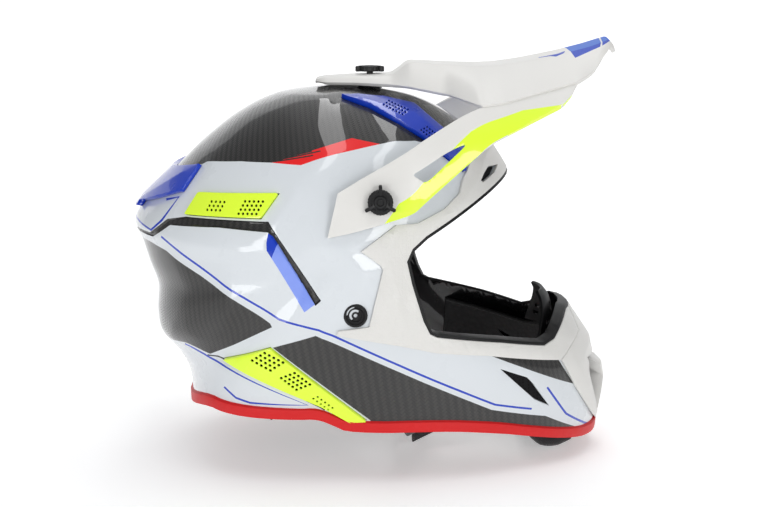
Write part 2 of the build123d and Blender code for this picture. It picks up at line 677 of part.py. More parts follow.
# ---------------------------------------------------------------- assembly
def make_parts():
    parts = {
        "shell": make_shell(),
        "crown_foam": make_crown_foam(),
        "chin_foam": make_chin_foam(),
        "comfort_liner": make_liner(),
        "neck_roll": make_neck_roll(),
        "eyeport_gasket": make_gasket(),
        "base_trim": make_base_trim(),
        "eyeport_surround": make_surround(),
        "nose_cover": make_nose_cover(),
        "mouth_vent_bar": make_mouth_bar(),
        "mouth_vent_mesh": make_mouth_mesh(),
        "rear_spoiler": make_spoiler(),
        "nose_guard": make_nose_guard(),
        "chin_curtain": make_curtain(),
        "peak": make_peak(),
        "peak_screw_top": top_screw(),
        "peak_inserts": make_inserts(),
        "peak_spacers": make_spacers(),
        "chin_strap_right": make_strap(-1, 26),
        "chin_strap_left": make_strap(1, 58),
        "buckle_rings": make_rings(),
        "release_tab": make_release_tab(),
        "strap_snap": make_snap(),
    }
    right_hand = {
        "cheek_pad": make_cheek_pad(),
        "crown_vent": vent_housing(CROWN_VENT, 4),
        "crown_vent_mesh": vent_mesh(CROWN_VENT),
        "side_exhaust": vent_housing(SIDE_EXHAUST, 2),
        "side_exhaust_mesh": vent_mesh(SIDE_EXHAUST),
        "lower_exhaust": vent_housing(LOWER_EXHAUST, 4),
        "lower_exhaust_mesh": vent_mesh(LOWER_EXHAUST),
        "chin_vent_mesh": vent_mesh(CHIN_VENT),
        "brow_vent_mesh": vent_mesh(BROW_VENT),
        "strap_anchor": make_anchor_cap(),
        "strap_plate": make_strap_plate(),
        "peak_screw": side_screw(),
    }
    for name, shape in right_hand.items():
        parts[name + "_right"] = shape
        parts[name + "_left"] = left_of(shape)
    return parts


def solids_of(shape):
    if isinstance(shape, (list, tuple)):
        return [solid for item in shape for solid in solids_of(item)]
    return list(shape.solids())


def main():
    parts = {name: Compound(solids_of(shape)) for name, shape in make_parts().items()}
    box = Compound(list(parts.values())).bounding_box()
    shift = Vector(-(box.min.X + box.max.X) / 2, -(box.min.Y + box.max.Y) / 2, -box.min.Z)
    os.makedirs("parts", exist_ok=True)
    for name, shape in parts.items():
        export_step(shape.moved(Location(shift)), f"parts/{name}.step")
    print("ear pole at", [round(value, 3) for value in shift])
    print("overall size", [round(value, 2) for value in box.size])


if __name__ == "__main__":
    main()
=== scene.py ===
"""Looks of the motocross helmet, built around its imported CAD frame.

Outlines are side-view points (x, z) in millimetres about the ear pole, as in the
CAD model.  The shell is a dome about the left-right axis: its side view follows
OUTLINE, and its half-width falls off as a super-ellipse.  Skin and panels are
meshed on a flat disc of that dome, so that every paint edge is a real mesh edge.
"""
import bpy
import bmesh
import math
from mathutils import Matrix, Vector
from mathutils.geometry import delaunay_2d_cdt


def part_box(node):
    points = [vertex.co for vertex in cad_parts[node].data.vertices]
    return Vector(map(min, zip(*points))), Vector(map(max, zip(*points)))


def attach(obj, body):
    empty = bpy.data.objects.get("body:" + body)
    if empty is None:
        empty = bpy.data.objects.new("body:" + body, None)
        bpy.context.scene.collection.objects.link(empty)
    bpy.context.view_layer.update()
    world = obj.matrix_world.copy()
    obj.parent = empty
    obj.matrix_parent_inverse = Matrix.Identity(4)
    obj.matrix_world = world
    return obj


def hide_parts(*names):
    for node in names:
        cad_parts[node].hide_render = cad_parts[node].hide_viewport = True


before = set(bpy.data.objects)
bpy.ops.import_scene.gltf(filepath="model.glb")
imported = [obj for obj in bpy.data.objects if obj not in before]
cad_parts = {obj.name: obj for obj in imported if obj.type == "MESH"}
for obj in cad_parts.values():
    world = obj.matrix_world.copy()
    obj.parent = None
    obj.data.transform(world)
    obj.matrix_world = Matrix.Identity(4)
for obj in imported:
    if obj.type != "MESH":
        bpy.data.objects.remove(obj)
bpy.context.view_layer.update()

MM = 0.001
anchor_low, anchor_high = (Vector(corner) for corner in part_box("strap_anchor_right"))
ANCHOR = (17.3, -34.0)
EAR = Vector(((anchor_low.x + anchor_high.x) / 2 - ANCHOR[0] * MM, 0,
              (anchor_low.z + anchor_high.z) / 2 - ANCHOR[1] * MM))
HALF_WIDTH = 125.0
SHELL_WALL = 3.0
PANEL = (0.4, 2.4)           # covers: inner and outer face above the shell's outside
SCREEN = (-2.6, -1.4)        # meshes behind the vents
SEAL_INSIDE = -5.4           # inner leg of both rubber trims
TRIM_HEIGHT = 7
SEAL_GROWTH = 1.1            # eyeport seal past the opening's edge
SEAL_INNER = -0.9
OPENING_GROWTH = 1.4         # covers' edge past the opening's edge
FIT = 0.4                    # vent housings inside their holes
HOLLOW = 2.5                 # taken from behind a vent housing
HOUSING_WALL = 1.7


# ---------------------------------------------------------------- camera and studio
VIEW_AIM = Vector((34.2, 0, -10.4))         # from the ear pole, in millimetres
VIEW_DISTANCE = 1.3
VIEW_ELEVATION = math.radians(9)


def make_camera():
    data = bpy.data.cameras.new("camera")
    data.lens = 81.0
    data.sensor_width = 36.0
    camera = bpy.data.objects.new("camera", data)
    bpy.context.collection.objects.link(camera)
    back = Vector((0, -math.cos(VIEW_ELEVATION), math.sin(VIEW_ELEVATION)))
    camera.location = EAR + VIEW_AIM * MM + VIEW_DISTANCE * back
    camera.rotation_euler = (math.radians(90) - VIEW_ELEVATION, 0, 0)
    bpy.context.scene.camera = camera


def area_light(name, place, aim, size, energy):
    data = bpy.data.lights.new(name, "AREA")
    data.shape = "RECTANGLE"
    data.size, data.size_y = size
    data.energy = energy
    lamp = bpy.data.objects.new(name, data)
    bpy.context.collection.objects.link(lamp)
    lamp.location = place
    lamp.rotation_euler = (Vector(aim) - Vector(place)).to_track_quat("-Z", "Y").to_euler()
    return lamp


WORLD_COLOUR = (0.30, 0.305, 0.315, 1)
MIDDLE = (0, 0, 0.14)
FRONT_STRIP_TURN = math.radians(10)
LIGHTS = [
    ("strip_rear", (-0.07, 0.0, 1.15), (-0.07, 0.001, 0), (0.19, 1.8), 3.4),
    ("strip_front", (0.32, 0.0, 1.15), (0.32, 0.001, 0), (0.15, 1.8), 3.0),
    ("key", (1.25, -2.3, 0.62), MIDDLE, (0.9, 0.9), 15),
    ("fill", (-1.35, -2.2, 0.42), MIDDLE, (0.9, 0.9), 13),
    ("back", (0.1, 1.5, 1.5), (0, 2.4, 0.4), (2.4, 0.8), 15),
]


def make_studio():
    """Two strip lights overhead, a soft pair in front and one on the sweep behind."""
    world = bpy.data.worlds.new("studio")
    bpy.context.scene.world = world
    world.use_nodes = True
    world.node_tree.nodes["Background"].inputs["Color"].default_value = WORLD_COLOUR
    bpy.context.scene.view_settings.view_transform = "Standard"
    lamps = {light[0]: area_light(*light) for light in LIGHTS}
    lamps["strip_front"].rotation_euler.z += FRONT_STRIP_TURN


# ---------------------------------------------------------------- materials
def new_material(name, colour, roughness=0.4, coat=0.0, metallic=0.0, specular=0.5, sheen=0.0):
    material = bpy.data.materials.new(name)
    material.use_nodes = True
    shader = material.node_tree.nodes["Principled BSDF"]
    shader.inputs["Base Color"].default_value = (*colour, 1)
    shader.inputs["Roughness"].default_value = roughness
    shader.inputs["Coat Weight"].default_value = coat
    shader.inputs["Coat Roughness"].default_value = 0.03
    shader.inputs["Metallic"].default_value = metallic
    shader.inputs["Specular IOR Level"].default_value = specular
    shader.inputs["Sheen Weight"].default_value = sheen
    return material


def add(material, kind, **settings):
    node = material.node_tree.nodes.new(kind)
    for key, value in settings.items():
        setattr(node, key, value)
    return node


def link(material, source, target):
    material.node_tree.links.new(source, target)


def calc(material, operation, first, second=None):
    """A Math node; first and second are sockets or numbers."""
    node = add(material, "ShaderNodeMath", operation=operation)
    for socket, value in zip(node.inputs, (first, second)):
        if value is None:
            continue
        if isinstance(value, (int, float)):
            socket.default_value = value
        else:
            link(material, value, socket)
    return node.outputs[0]


def shader_of(material):
    return material.node_tree.nodes["Principled BSDF"]


def object_coordinates(material):
    return add(material, "ShaderNodeTexCoord").outputs["Object"]


def axes_of(material, source):
    """The three parts of a vector socket."""
    split = add(material, "ShaderNodeSeparateXYZ")
    link(material, source, split.inputs[0])
    return split.outputs


def cell_distance(material, scale, randomness=1.0, feature="F1"):
    """Distance value of a cell pattern."""
    cells = add(material, "ShaderNodeTexVoronoi", feature=feature)
    cells.inputs["Scale"].default_value = scale
    cells.inputs["Randomness"].default_value = randomness
    link(material, object_coordinates(material), cells.inputs["Vector"])
    return cells.outputs["Distance"]


def blend_colours(material, factor, dark, light):
    mix = add(material, "ShaderNodeMix", data_type="RGBA")
    mix.inputs["A"].default_value = (*dark, 1)
    mix.inputs["B"].default_value = (*light, 1)
    link(material, factor, mix.inputs["Factor"])
    link(material, mix.outputs["Result"], shader_of(material).inputs["Base Color"])


def set_bump(material, height, strength, distance):
    bump = add(material, "ShaderNodeBump")
    bump.inputs["Strength"].default_value = strength
    bump.inputs["Distance"].default_value = distance
    link(material, height, bump.inputs["Height"])
    link(material, bump.outputs["Normal"], shader_of(material).inputs["Normal"])


def noise_value(material, scale, detail=4.0):
    node = add(material, "ShaderNodeTexNoise")
    node.inputs["Scale"].default_value = scale
    node.inputs["Detail"].default_value = detail
    link(material, object_coordinates(material), node.inputs["Vector"])
    return node.outputs["Fac"]


def vary(material, colour, spread, scale, low_rough, high_rough):
    """Cloudy colour and roughness, as handling and mould flow leave them."""
    cloud = noise_value(material, scale)
    dark = [channel * (1 - spread) for channel in colour]
    blend_colours(material, cloud, dark, colour)
    ramp = add(material, "ShaderNodeMapRange")
    ramp.inputs["To Min"].default_value = low_rough
    ramp.inputs["To Max"].default_value = high_rough
    link(material, noise_value(material, scale * 3), ramp.inputs["Value"])
    link(material, ramp.outputs["Result"], shader_of(material).inputs["Roughness"])


def gloss_paint(name, colour):
    material = new_material(name, colour, coat=0.9, specular=0.2)
    vary(material, colour, 0.015, 12, 0.24, 0.32)
    set_bump(material, noise_value(material, 900, 2), 0.03, 0.0002)
    return material


def moulded(name, colour, low_rough, high_rough, grain=2500, depth=0.12, spread=0.08):
    material = new_material(name, colour, specular=0.35)
    vary(material, colour, spread, 25, low_rough, high_rough)
    set_bump(material, noise_value(material, grain, 3), depth, 0.0003)
    return material


def carbon_twill(name):
    """Two-over-two twill of 1.7 mm tows under clear lacquer."""
    material = new_material(name, (0.012, 0.012, 0.012), roughness=0.4, coat=1.0, specular=0.3)
    tow = 0.0017
    place = axes_of(material, add(material, "ShaderNodeUVMap", uv_map="surface").outputs["UV"])
    across = calc(material, "DIVIDE", place[0], tow)
    along = calc(material, "DIVIDE", place[1], tow)
    cells = calc(material, "ADD", calc(material, "FLOOR", across), calc(material, "FLOOR", along))
    phase = calc(material, "FLOORED_MODULO", cells, 4.0)
    over = calc(material, "LESS_THAN", phase, 2.0)

    def crown(value):
        share = calc(material, "FRACT", value)
        return calc(material, "SINE", calc(material, "MULTIPLY", share, math.pi))

    warp = calc(material, "MULTIPLY", crown(across), over)
    weft = calc(material, "MULTIPLY", crown(along), calc(material, "SUBTRACT", 1.0, over))
    height = calc(material, "ADD", warp, weft)
    # Painted sheen: the over-lying tows and the crown of every tow are coloured lighter, standing in
    # for the lacquered weave's reflection.
    painted_sheen = calc(material, "ADD", calc(material, "MULTIPLY", over, 0.55),
                calc(material, "MULTIPLY", height, 0.45))
    blend_colours(material, painted_sheen, (0.003, 0.003, 0.003), (0.026, 0.024, 0.022))
    shader_of(material).inputs["Metallic"].default_value = 0.15
    set_bump(material, height, 0.35, 0.0003)
    return material


def hexagon_grain(name, colour):
    """Satin white moulding with a fine cell grain, as the eyeport surround has."""
    material = new_material(name, colour, coat=0.15)
    vary(material, colour, 0.03, 14, 0.38, 0.5)
    groove = calc(material, "MINIMUM", cell_distance(material, 400, 0.3, "DISTANCE_TO_EDGE"), 0.12)
    set_bump(material, groove, 0.5, 0.0016)
    return material


def perforated(name, pitch, openness):
    """Black mesh: round pits at a fine pitch, painted near-black as the shade inside them."""
    material = new_material(name, (0.012, 0.012, 0.013), roughness=0.6, specular=0.1)
    pit = calc(material, "GREATER_THAN", cell_distance(material, 1 / pitch, 0.0), openness)
    # Painted shade: the pits take a near-black colour, as the shade inside the holes.
    blend_colours(material, pit, (0.001, 0.001, 0.001), (0.009, 0.009, 0.01))
    set_bump(material, pit, 0.8, 0.0006)
    return material


def woven(name, colour, pitch, sheen=0.3):
    """Cloth or webbing: crossed ribs with loose fibres."""
    material = new_material(name, colour, roughness=0.85, sheen=sheen)
    place = axes_of(material, object_coordinates(material))
    turn = 2 * math.pi / pitch
    slope = calc(material, "ADD", place[0], place[2])
    ribs, picks = (calc(material, "SINE", calc(material, "MULTIPLY", value, turn))
                   for value in (place[1], slope))
    weave = calc(material, "MULTIPLY", ribs, picks)
    height = calc(material, "ADD", weave, noise_value(material, 1800, 3))
    # Painted shade: the colour darkens to 55 % in the weave's hollows, where the crossed ribs dip.
    share = calc(material, "MULTIPLY", calc(material, "ADD", weave, 1.0), 0.5)
    blend_colours(material, share, [channel * 0.55 for channel in colour], colour)
    set_bump(material, height, 0.5, 0.0004)
    return material


def bead_foam(name, colour):
    material = new_material(name, colour, roughness=0.7)
    beads = cell_distance(material, 320)
    # Painted shade: the colour halves towards each bead's edge, in the crevices between the beads.
    blend_colours(material, beads, colour, [channel * 0.5 for channel in colour])
    set_bump(material, beads, 0.5, 0.0008)
    return material


def metal(name, colour, roughness):
    material = new_material(name, colour, metallic=1.0)
    vary(material, colour, 0.1, 60, roughness, roughness + 0.12)
    set_bump(material, noise_value(material, 1500, 2), 0.05, 0.0002)
    return material


WHITE = gloss_paint("white_paint", (0.70, 0.735, 0.765))
CARBON = carbon_twill("carbon")
RED = gloss_paint("red_paint", (0.82, 0.008, 0.01))
BLUE = gloss_paint("blue_paint", (0.004, 0.042, 0.50))
PALE_BLUE = gloss_paint("pale_blue_paint", (0.22, 0.32, 0.86))
YELLOW = gloss_paint("yellow_paint", (0.75, 1.0, 0.04))
# Painted glow: a faint emission of its own colour brightens the yellow paint beyond what the lamps give
# it.
shader_of(YELLOW).inputs["Emission Color"].default_value = (0.72, 1.0, 0.03, 1)
shader_of(YELLOW).inputs["Emission Strength"].default_value = 0.05
BLACK = gloss_paint("black_paint", (0.008, 0.008, 0.009))
SATIN = moulded("satin_white", (0.76, 0.75, 0.72), 0.3, 0.42, depth=0.05, spread=0.03)
GRAIN = hexagon_grain("grained_white", (0.75, 0.74, 0.71))
TIP_BLUE = moulded("tip_blue", (0.006, 0.055, 0.50), 0.4, 0.5, depth=0.05, spread=0.03)
# Painted reflection: this paler blue stands in for the lamps' sheen on the tip's top face; the tip's
# own blue is the material above.
TIP_BLUE_PAINTED_REFLECTION = moulded("tip_blue_painted_reflection", (0.05, 0.17, 0.66), 0.5, 0.6, depth=0.05, spread=0.03)
RUBBER_RED = moulded("red_rubber", (0.68, 0.008, 0.01), 0.42, 0.55)
RUBBER_BLACK = moulded("black_rubber", (0.004, 0.004, 0.0045), 0.42, 0.6)
PLASTIC_BLACK = moulded("black_plastic", (0.006, 0.006, 0.0065), 0.3, 0.45, grain=1600, depth=0.2)
MESH_BLACK = perforated("black_mesh", 0.0022, 0.33)
KNIT = woven("liner_knit", (0.014, 0.014, 0.016), 0.0016)
WEBBING = woven("webbing", (0.022, 0.022, 0.024), 0.0019)
WEBBING_RED = woven("red_webbing", (0.6, 0.012, 0.02), 0.0019)
THREAD = woven("thread", (0.09, 0.09, 0.1), 0.0008)
FOAM = bead_foam("bead_foam", (0.008, 0.008, 0.009))
STEEL = metal("steel", (0.55, 0.55, 0.57), 0.2)
BRASS = metal("brass", (0.66, 0.48, 0.2), 0.28)

# ---------------------------------------------------------------- dome
OUTLINE = [
    (-176, 139.5), (-168, 135.5), (-160, 141.5), (-154, 144.5), (-146, 139), (-137, 147),
    (-126, 176), (-115, 203), (-103, 220), (-90, 228), (-76, 238), (-62, 250), (-50, 255),
    (-42, 250), (-36, 243), (-30, 229), (-25, 216), (-20, 202), (-15, 182), (-8, 166),
    (2, 152), (12, 143), (22, 139.5), (32, 137), (44, 131), (53, 127.8), (62, 124.5),
    (72, 120.5), (84, 118), (97, 117.5), (110, 118.8), (125, 120.5), (140, 124),
    (154, 131.5), (164, 142), (172, 150.5), (178, 144),
]
FULLNESS = [
    (-180, 2.3), (-140, 2.6), (-110, 3.2), (-70, 3.2), (-45, 2.2), (-22, 1.9),
    (0, 2.0), (30, 2.15), (90, 2.3), (140, 2.3), (180, 2.3),
]


def outline_radius(angle):
    """Radius of the side view at an angle in degrees: a smooth closed curve."""
    count = len(OUTLINE)
    angle = (angle - OUTLINE[0][0]) % 360 + OUTLINE[0][0]
    index = 0
    while index + 1 < count and OUTLINE[index + 1][0] <= angle:
        index += 1

    def knot(k):
        turns, k = divmod(k, count)
        return OUTLINE[k][0] + 360 * turns, OUTLINE[k][1]

    (a0, r0), (a1, r1), (a2, r2), (a3, r3) = (knot(index + k) for k in (-1, 0, 1, 2))
    span = a2 - a1
    t = (angle - a1) / span
    m1 = (r2 - r0) / (a2 - a0) * span
    m2 = (r3 - r1) / (a3 - a1) * span
    return ((2 * t ** 3 - 3 * t ** 2 + 1) * r1 + (t ** 3 - 2 * t ** 2 + t) * m1
            + (3 * t ** 2 - 2 * t ** 3) * r2 + (t ** 3 - t ** 2) * m2)


def fullness(angle):
    for (a0, p0), (a1, p1) in zip(FULLNESS, FULLNESS[1:]):
        if a0 <= angle <= a1:
            return p0 + (p1 - p0) * (angle - a0) / (a1 - a0)
    return FULLNESS[-1][1]


RADII = [outline_radius(step / 4) for step in range(-720, 720)]
POWERS = [fullness(step / 4) for step in range(-720, 720)]


def tabled(table, angle):
    place = (math.degrees(angle) + 180) * 4
    low = int(math.floor(place))
    share = place - low
    return table[low % 1440] * (1 - share) + table[(low + 1) % 1440] * share


def to_disc(x, z):
    """Side-view point to the flat disc that the dome is meshed on."""
    angle = math.atan2(z, x)
    share = min(1.0, math.hypot(x, z) / tabled(RADII, angle))
    reach = math.asin(share) * 2 / math.pi
    return Vector((reach * math.cos(angle), reach * math.sin(angle)))


def from_disc(point, offset):
    """Disc point to the right half of the dome, in millimetres about the ear pole."""
    reach = min(1.0, point.length)
    angle = math.atan2(point.y, point.x)
    share = math.sin(reach * math.pi / 2)
    power = tabled(POWERS, angle)
    radius = share * (tabled(RADII, angle) + offset)
    width = (HALF_WIDTH + offset) * max(0.0, 1 - share ** power) ** (1 / power)
    return Vector((radius * math.cos(angle), -width, radius * math.sin(angle)))


def side_view(point):
    """Disc point back to its side-view point."""
    place = from_disc(point, 0.0)
    return place.x, place.z


def surface_uv(point):
    """Disc point as near-even lengths over the dome, in metres."""
    angle = math.atan2(point.y, point.x)
    quarter = math.sqrt((tabled(RADII, angle) ** 2 + HALF_WIDTH ** 2) / 2) * math.pi / 2
    u, v = point.x * quarter * MM, point.y * quarter * MM
    turn = math.radians(35)
    return u * math.cos(turn) - v * math.sin(turn), u * math.sin(turn) + v * math.cos(turn)


def in_polygon(point, polygon):
    inside = False
    x, y = point
    last = polygon[-1]
    for corner in polygon:
        if (corner[1] > y) != (last[1] > y):
            if x < (last[0] - corner[0]) * (y - corner[1]) / (last[1] - corner[1]) + corner[0]:
                inside = not inside
        last = corner
    return inside


def divided(points, step, closed=True):
    """The same line with no run longer than step."""
    result = []
    ends = points[1:] + points[:1] if closed else points[1:]
    for (x0, z0), (x1, z1) in zip(points, ends):
        count = max(1, math.ceil(math.hypot(x1 - x0, z1 - z0) / step))
        result += [(x0 + (x1 - x0) * k / count, z0 + (z1 - z0) * k / count) for k in range(count)]
    return result if closed else result + [points[-1]]


def grown(points, amount):
    """Closed outline moved outwards by amount, corners mitred."""
    area = sum(a[0] * b[1] - b[0] * a[1] for a, b in zip(points, points[1:] + points[:1]))
    side = 1 if area > 0 else -1
    result = []
    count = len(points)
    for k in range(count):
        before, here, after = (Vector(points[(k + j) % count]) for j in (-1, 0, 1))
        first, second = (here - before).normalized(), (after - here).normalized()
        normal = (Vector((first.y, -first.x)) + Vector((second.y, -second.x))) * side
        normal.normalize()
        mitre = max(0.4, normal.dot(Vector((first.y, -first.x)) * side))
        result.append(tuple(here + normal * amount / mitre))
    return result


def rounded(points, radius, steps=4):
    """Closed outline with each corner cut to an arc-like curve."""
    result = []
    count = len(points)
    for k in range(count):
        before, here, after = (Vector(points[(k + j) % count]) for j in (-1, 0, 1))
        run_in, run_out = (before - here), (after - here)
        cut = min(radius, run_in.length * 0.45, run_out.length * 0.45)
        start, end = here + run_in.normalized() * cut, here + run_out.normalized() * cut
        for step in range(steps + 1):
            t = step / steps
            result.append(tuple(start * (1 - t) ** 2 + here * 2 * t * (1 - t) + end * t ** 2))
    return result


def stroke(points, width):
    """Outline of a line drawn with a width."""
    sides = ([], [])
    count = len(points)
    for k in range(count):
        here = Vector(points[k])
        before = Vector(points[max(k - 1, 0)])
        after = Vector(points[min(k + 1, count - 1)])
        along = ((here - before).normalized() + (after - here).normalized()).normalized()
        normal = Vector((-along.y, along.x)) * width / 2
        sides[0].append(tuple(here + normal))
        sides[1].append(tuple(here - normal))
    return sides[0] + sides[1][::-1]


def ellipse(x, z, half_width, half_height, count):
    turns = [k * math.pi / (count / 2) for k in range(count)]
    return [(x + half_width * math.cos(turn), z + half_height * math.sin(turn)) for turn in turns]


def dots(x, z, columns, rows, pitch, slant, size):
    """Round holes in a leaning block, rows running at slant radians."""
    holes = []
    for row in range(rows):
        for column in range(columns):
            along, up = (column + 0.5 * row) * pitch, row * pitch * 0.87
            cx = x + along * math.cos(slant) - up * math.sin(slant)
            cz = z + along * math.sin(slant) + up * math.cos(slant)
            holes.append(ellipse(cx, cz, size, size, 10))
    return holes


RIM_POINTS = 720


def rim_point(k):
    turn = 2 * math.pi * k / RIM_POINTS
    return Vector((math.cos(turn), math.sin(turn)))


def eased(points, passes=2):
    """Open line with its corners cut, ends kept."""
    for _ in range(passes):
        cut = [points[0]]
        for (x0, z0), (x1, z1) in zip(points, points[1:]):
            cut += [(x0 * a + x1 * (1 - a), z0 * a + z1 * (1 - a)) for a in (0.75, 0.25)]
        points = cut + [points[-1]]
    return points


def disc_loop(points, step=2.5, closed=True):
    """Outline on the disc; what runs past the silhouette follows one shared rim grid."""
    loop, last = [], None
    raw = [to_disc(*p) for p in divided(list(points), step, closed)]
    for point in raw + (raw[:1] if closed else []):
        if point.length < 0.9999:
            loop.append(point)
            last = None
            continue
        k = round(math.atan2(point.y, point.x) / (2 * math.pi) * RIM_POINTS) % RIM_POINTS
        if last is not None:
            gap = (k - last + RIM_POINTS // 2) % RIM_POINTS - RIM_POINTS // 2
            way = 1 if gap > 0 else -1
            loop += [rim_point(last + way * j) for j in range(1, abs(gap))]
        if k != last:
            loop.append(rim_point(k))
        last = k
    if closed and len(loop) > 1 and (loop[0] - loop[-1]).length < 1e-6:
        loop.pop()
    return loop


def triangulate(border, holes=(), paints=(), lines=(), spacing=0.02, limit=None):
    """Triangles inside border, less holes: (points, [(triangle, paint index)])."""
    points, edges = [], []

    def add_loop(loop, closed=True):
        start, count = len(points), len(loop)
        points.extend(loop)
        steps_round = count if closed else count - 1
        edges.extend((start + k, start + (k + 1) % count) for k in range(steps_round))

    for loop in [border] + list(holes) + [loop for loop, _ in paints]:
        add_loop(loop)
    for line in lines:
        add_loop(line, closed=False)
    low_u, high_u = min(p.x for p in border), max(p.x for p in border)
    low_v, high_v = min(p.y for p in border), max(p.y for p in border)
    row_pitch = spacing * 0.866
    for row in range(math.floor(low_v / row_pitch), math.ceil(high_v / row_pitch) + 1):
        for column in range(math.floor(low_u / spacing), math.ceil(high_u / spacing) + 1):
            point = Vector(((column + 0.5 * (row % 2)) * spacing, row * row_pitch))
            if (limit is None or point.length < limit) and in_polygon(point, border):
                points.append(point)
    verts, _, faces, _, _, _ = delaunay_2d_cdt(points, edges, [], 0, 1e-6)
    kept = []
    for face in faces:
        centre = (verts[face[0]] + verts[face[1]] + verts[face[2]]) / 3
        if in_polygon(centre, border) and not any(in_polygon(centre, hole) for hole in holes):
            index = next((i for loop, i in paints if in_polygon(centre, loop)), 0)
            kept.append((face, index))
    return verts, kept


def build_sheet(name, kept, top, bottom, uvs, materials, sides="both", under=0, bevel=0.4,
                body="helmet", closed_middle=True):
    """Closed sheet from triangles with a top and a bottom place for each point.

    Places are millimetres about the ear pole, on the right; sides is right, left or both.
    """
    used = sorted({v for face, _ in kept for v in face})
    mesh = bmesh.new()
    uv_layer = mesh.loops.layers.uv.new("surface")

    def build_half(sign):
        flip = lambda p: EAR + Vector((p.x, p.y * -sign, p.z)) * MM
        tops = {v: mesh.verts.new(flip(top[v])) for v in used}
        bottoms = {v: mesh.verts.new(flip(bottom[v])) for v in used}
        uses = {}

        def face_of(ring, index):
            ring = ring[::-1] if sign > 0 else ring
            new = mesh.faces.new([where[v] for where, v in ring])
            new.material_index = index
            for loop, (_, v) in zip(new.loops, ring):
                loop[uv_layer].uv = uvs[v]

        for face, index in kept:
            face_of([(tops, v) for v in face], index)
            face_of([(bottoms, v) for v in face[::-1]], under)
            for a, b in zip(face, face[1:] + face[:1]):
                uses.setdefault((min(a, b), max(a, b)), []).append((a, b, index))
        for pairs in uses.values():
            a, b, index = pairs[0]
            on_middle = abs(top[a].y) < 1e-3 and abs(top[b].y) < 1e-3
            if len(pairs) == 1 and not (closed_middle and sides == "both" and on_middle):
                face_of([(tops, b), (tops, a), (bottoms, a), (bottoms, b)], index)

    if sides != "left":
        build_half(-1)
    if sides != "right":
        build_half(1)
    if sides == "both":
        middle = [v for v in mesh.verts if abs(v.co.y) < 2e-6]
        bmesh.ops.remove_doubles(mesh, verts=middle, dist=1e-5)
    return to_object(name, mesh, materials, body, bevel)


def conformal(name, outline, inner, outer, materials, holes=(), paints=(), spacing=0.02,
              relief=None, sink=None, lines=(), sides="both", under=0, bevel=0.4):
    """A sheet of the dome between two offsets, cut by a side-view outline."""
    verts, kept = triangulate(
        disc_loop(outline), [disc_loop(hole) for hole in holes],
        [(disc_loop(points), index) for points, index in paints],
        [disc_loop(line, closed=False) for line in lines], spacing, limit=1 - spacing * 0.4)
    top, bottom, uvs = {}, {}, {}
    for v in {v for face, _ in kept for v in face}:
        point = verts[v] if verts[v].length < 0.9999 else verts[v].normalized()
        where = side_view(point)
        top[v] = from_disc(point, outer + (relief(*where) if relief else 0.0))
        bottom[v] = from_disc(point, inner + (sink(*where) if sink else 0.0))
        uvs[v] = surface_uv(point)
    return build_sheet(name, kept, top, bottom, uvs, materials, sides, under, bevel)


def to_object(name, mesh, materials, body="helmet", bevel=0.0, smooth_angle=35):
    """The finished piece of a bmesh, riding its body."""
    bmesh.ops.recalc_face_normals(mesh, faces=mesh.faces)
    data = bpy.data.meshes.new(name)
    mesh.to_mesh(data)
    mesh.free()
    for material in materials:
        data.materials.append(material)
    piece = bpy.data.objects.new(name, data)
    bpy.context.collection.objects.link(piece)
    if bevel:
        modifier = piece.modifiers.new("rim", "BEVEL")
        modifier.width = bevel * MM
        modifier.segments = 2
        modifier.limit_method = "ANGLE"
        modifier.angle_limit = math.radians(50)
        apply_modifiers(piece)
    smooth(piece, smooth_angle)
    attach(piece, body)
    return piece


def loft(mesh, rings, closed_path=False):
    """Skin through rings of one count, capped at its ends unless the path closes."""
    pairs = list(zip(rings, rings[1:])) + ([(rings[-1], rings[0])] if closed_path else [])
    count = len(rings[0])
    for low, high in pairs:
        for k in range(count):
            mesh.faces.new((low[k], low[(k + 1) % count], high[(k + 1) % count], high[k]))
    if not closed_path:
        mesh.faces.new(rings[0][::-1])
        mesh.faces.new(rings[-1])


def apply_modifiers(piece):
    graph = bpy.context.evaluated_depsgraph_get()
    mesh = bpy.data.meshes.new_from_object(piece.evaluated_get(graph))
    piece.modifiers.clear()
    piece.data = mesh


def smooth(piece, angle):
    mesh = piece.data
    mesh.polygons.foreach_set("use_smooth", [True] * len(mesh.polygons))
    mesh.set_sharp_from_angle(angle=math.radians(angle))


def declare(piece, slot, *nodes):
    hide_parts(*nodes)
    return piece


def pair(name):
    return [f"{name}_{side}" for side in ("right", "left")]


def covering(name, slot, nodes, outline, inner, outer, materials, **shape):
    """A sheet of the dome that stands for the named nodes."""
    return declare(conformal(name, outline, inner, outer, materials, **shape), slot, *nodes)


# ---------------------------------------------------------------- outlines
EYEPORT = [
    (260, 100), (127.6, 54.9), (103.7, 40.6), (81.6, 27.2), (66.1, 18.1), (57, 10.3),
    (53.5, 2.5), (57, -12.6), (65.1, -38.2), (69.4, -46.9), (73.9, -49.2), (118.8, -56.6),
    (151.4, -63.6), (158.7, -60.8), (162.8, -55.6), (171, -46), (260, -46),
]
SURROUND = [
    (260, 118), (112, 77), (97.5, 66.3), (91.3, 54.7), (89, 46.2), (78.4, 36.7),
    (59.7, 28.3), (44.5, 27.8), (21, 10.4), (34.4, 0.5), (36, -2.6), (26.6, -41.7),
    (5.1, -44.5), (4.4, -47.3), (48, -55.3), (72.5, -61.2), (109.6, -65.8),
    (164.3, -77.2), (180, -62), (171, -40), (260, 0),
]
NOSE_COVER = [
    (171.8, -41), (180.8, -62), (165.2, -77.6), (176.3, -98.8), (193.9, -128.3),
    (200.9, -139.7), (260, -165), (260, -20),
]
BROW_VENT = [
    (109.7, 61.3), (118.4, 61), (115, 56.3), (105.6, 51.3), (103.5, 52.8), (105.9, 57),
]
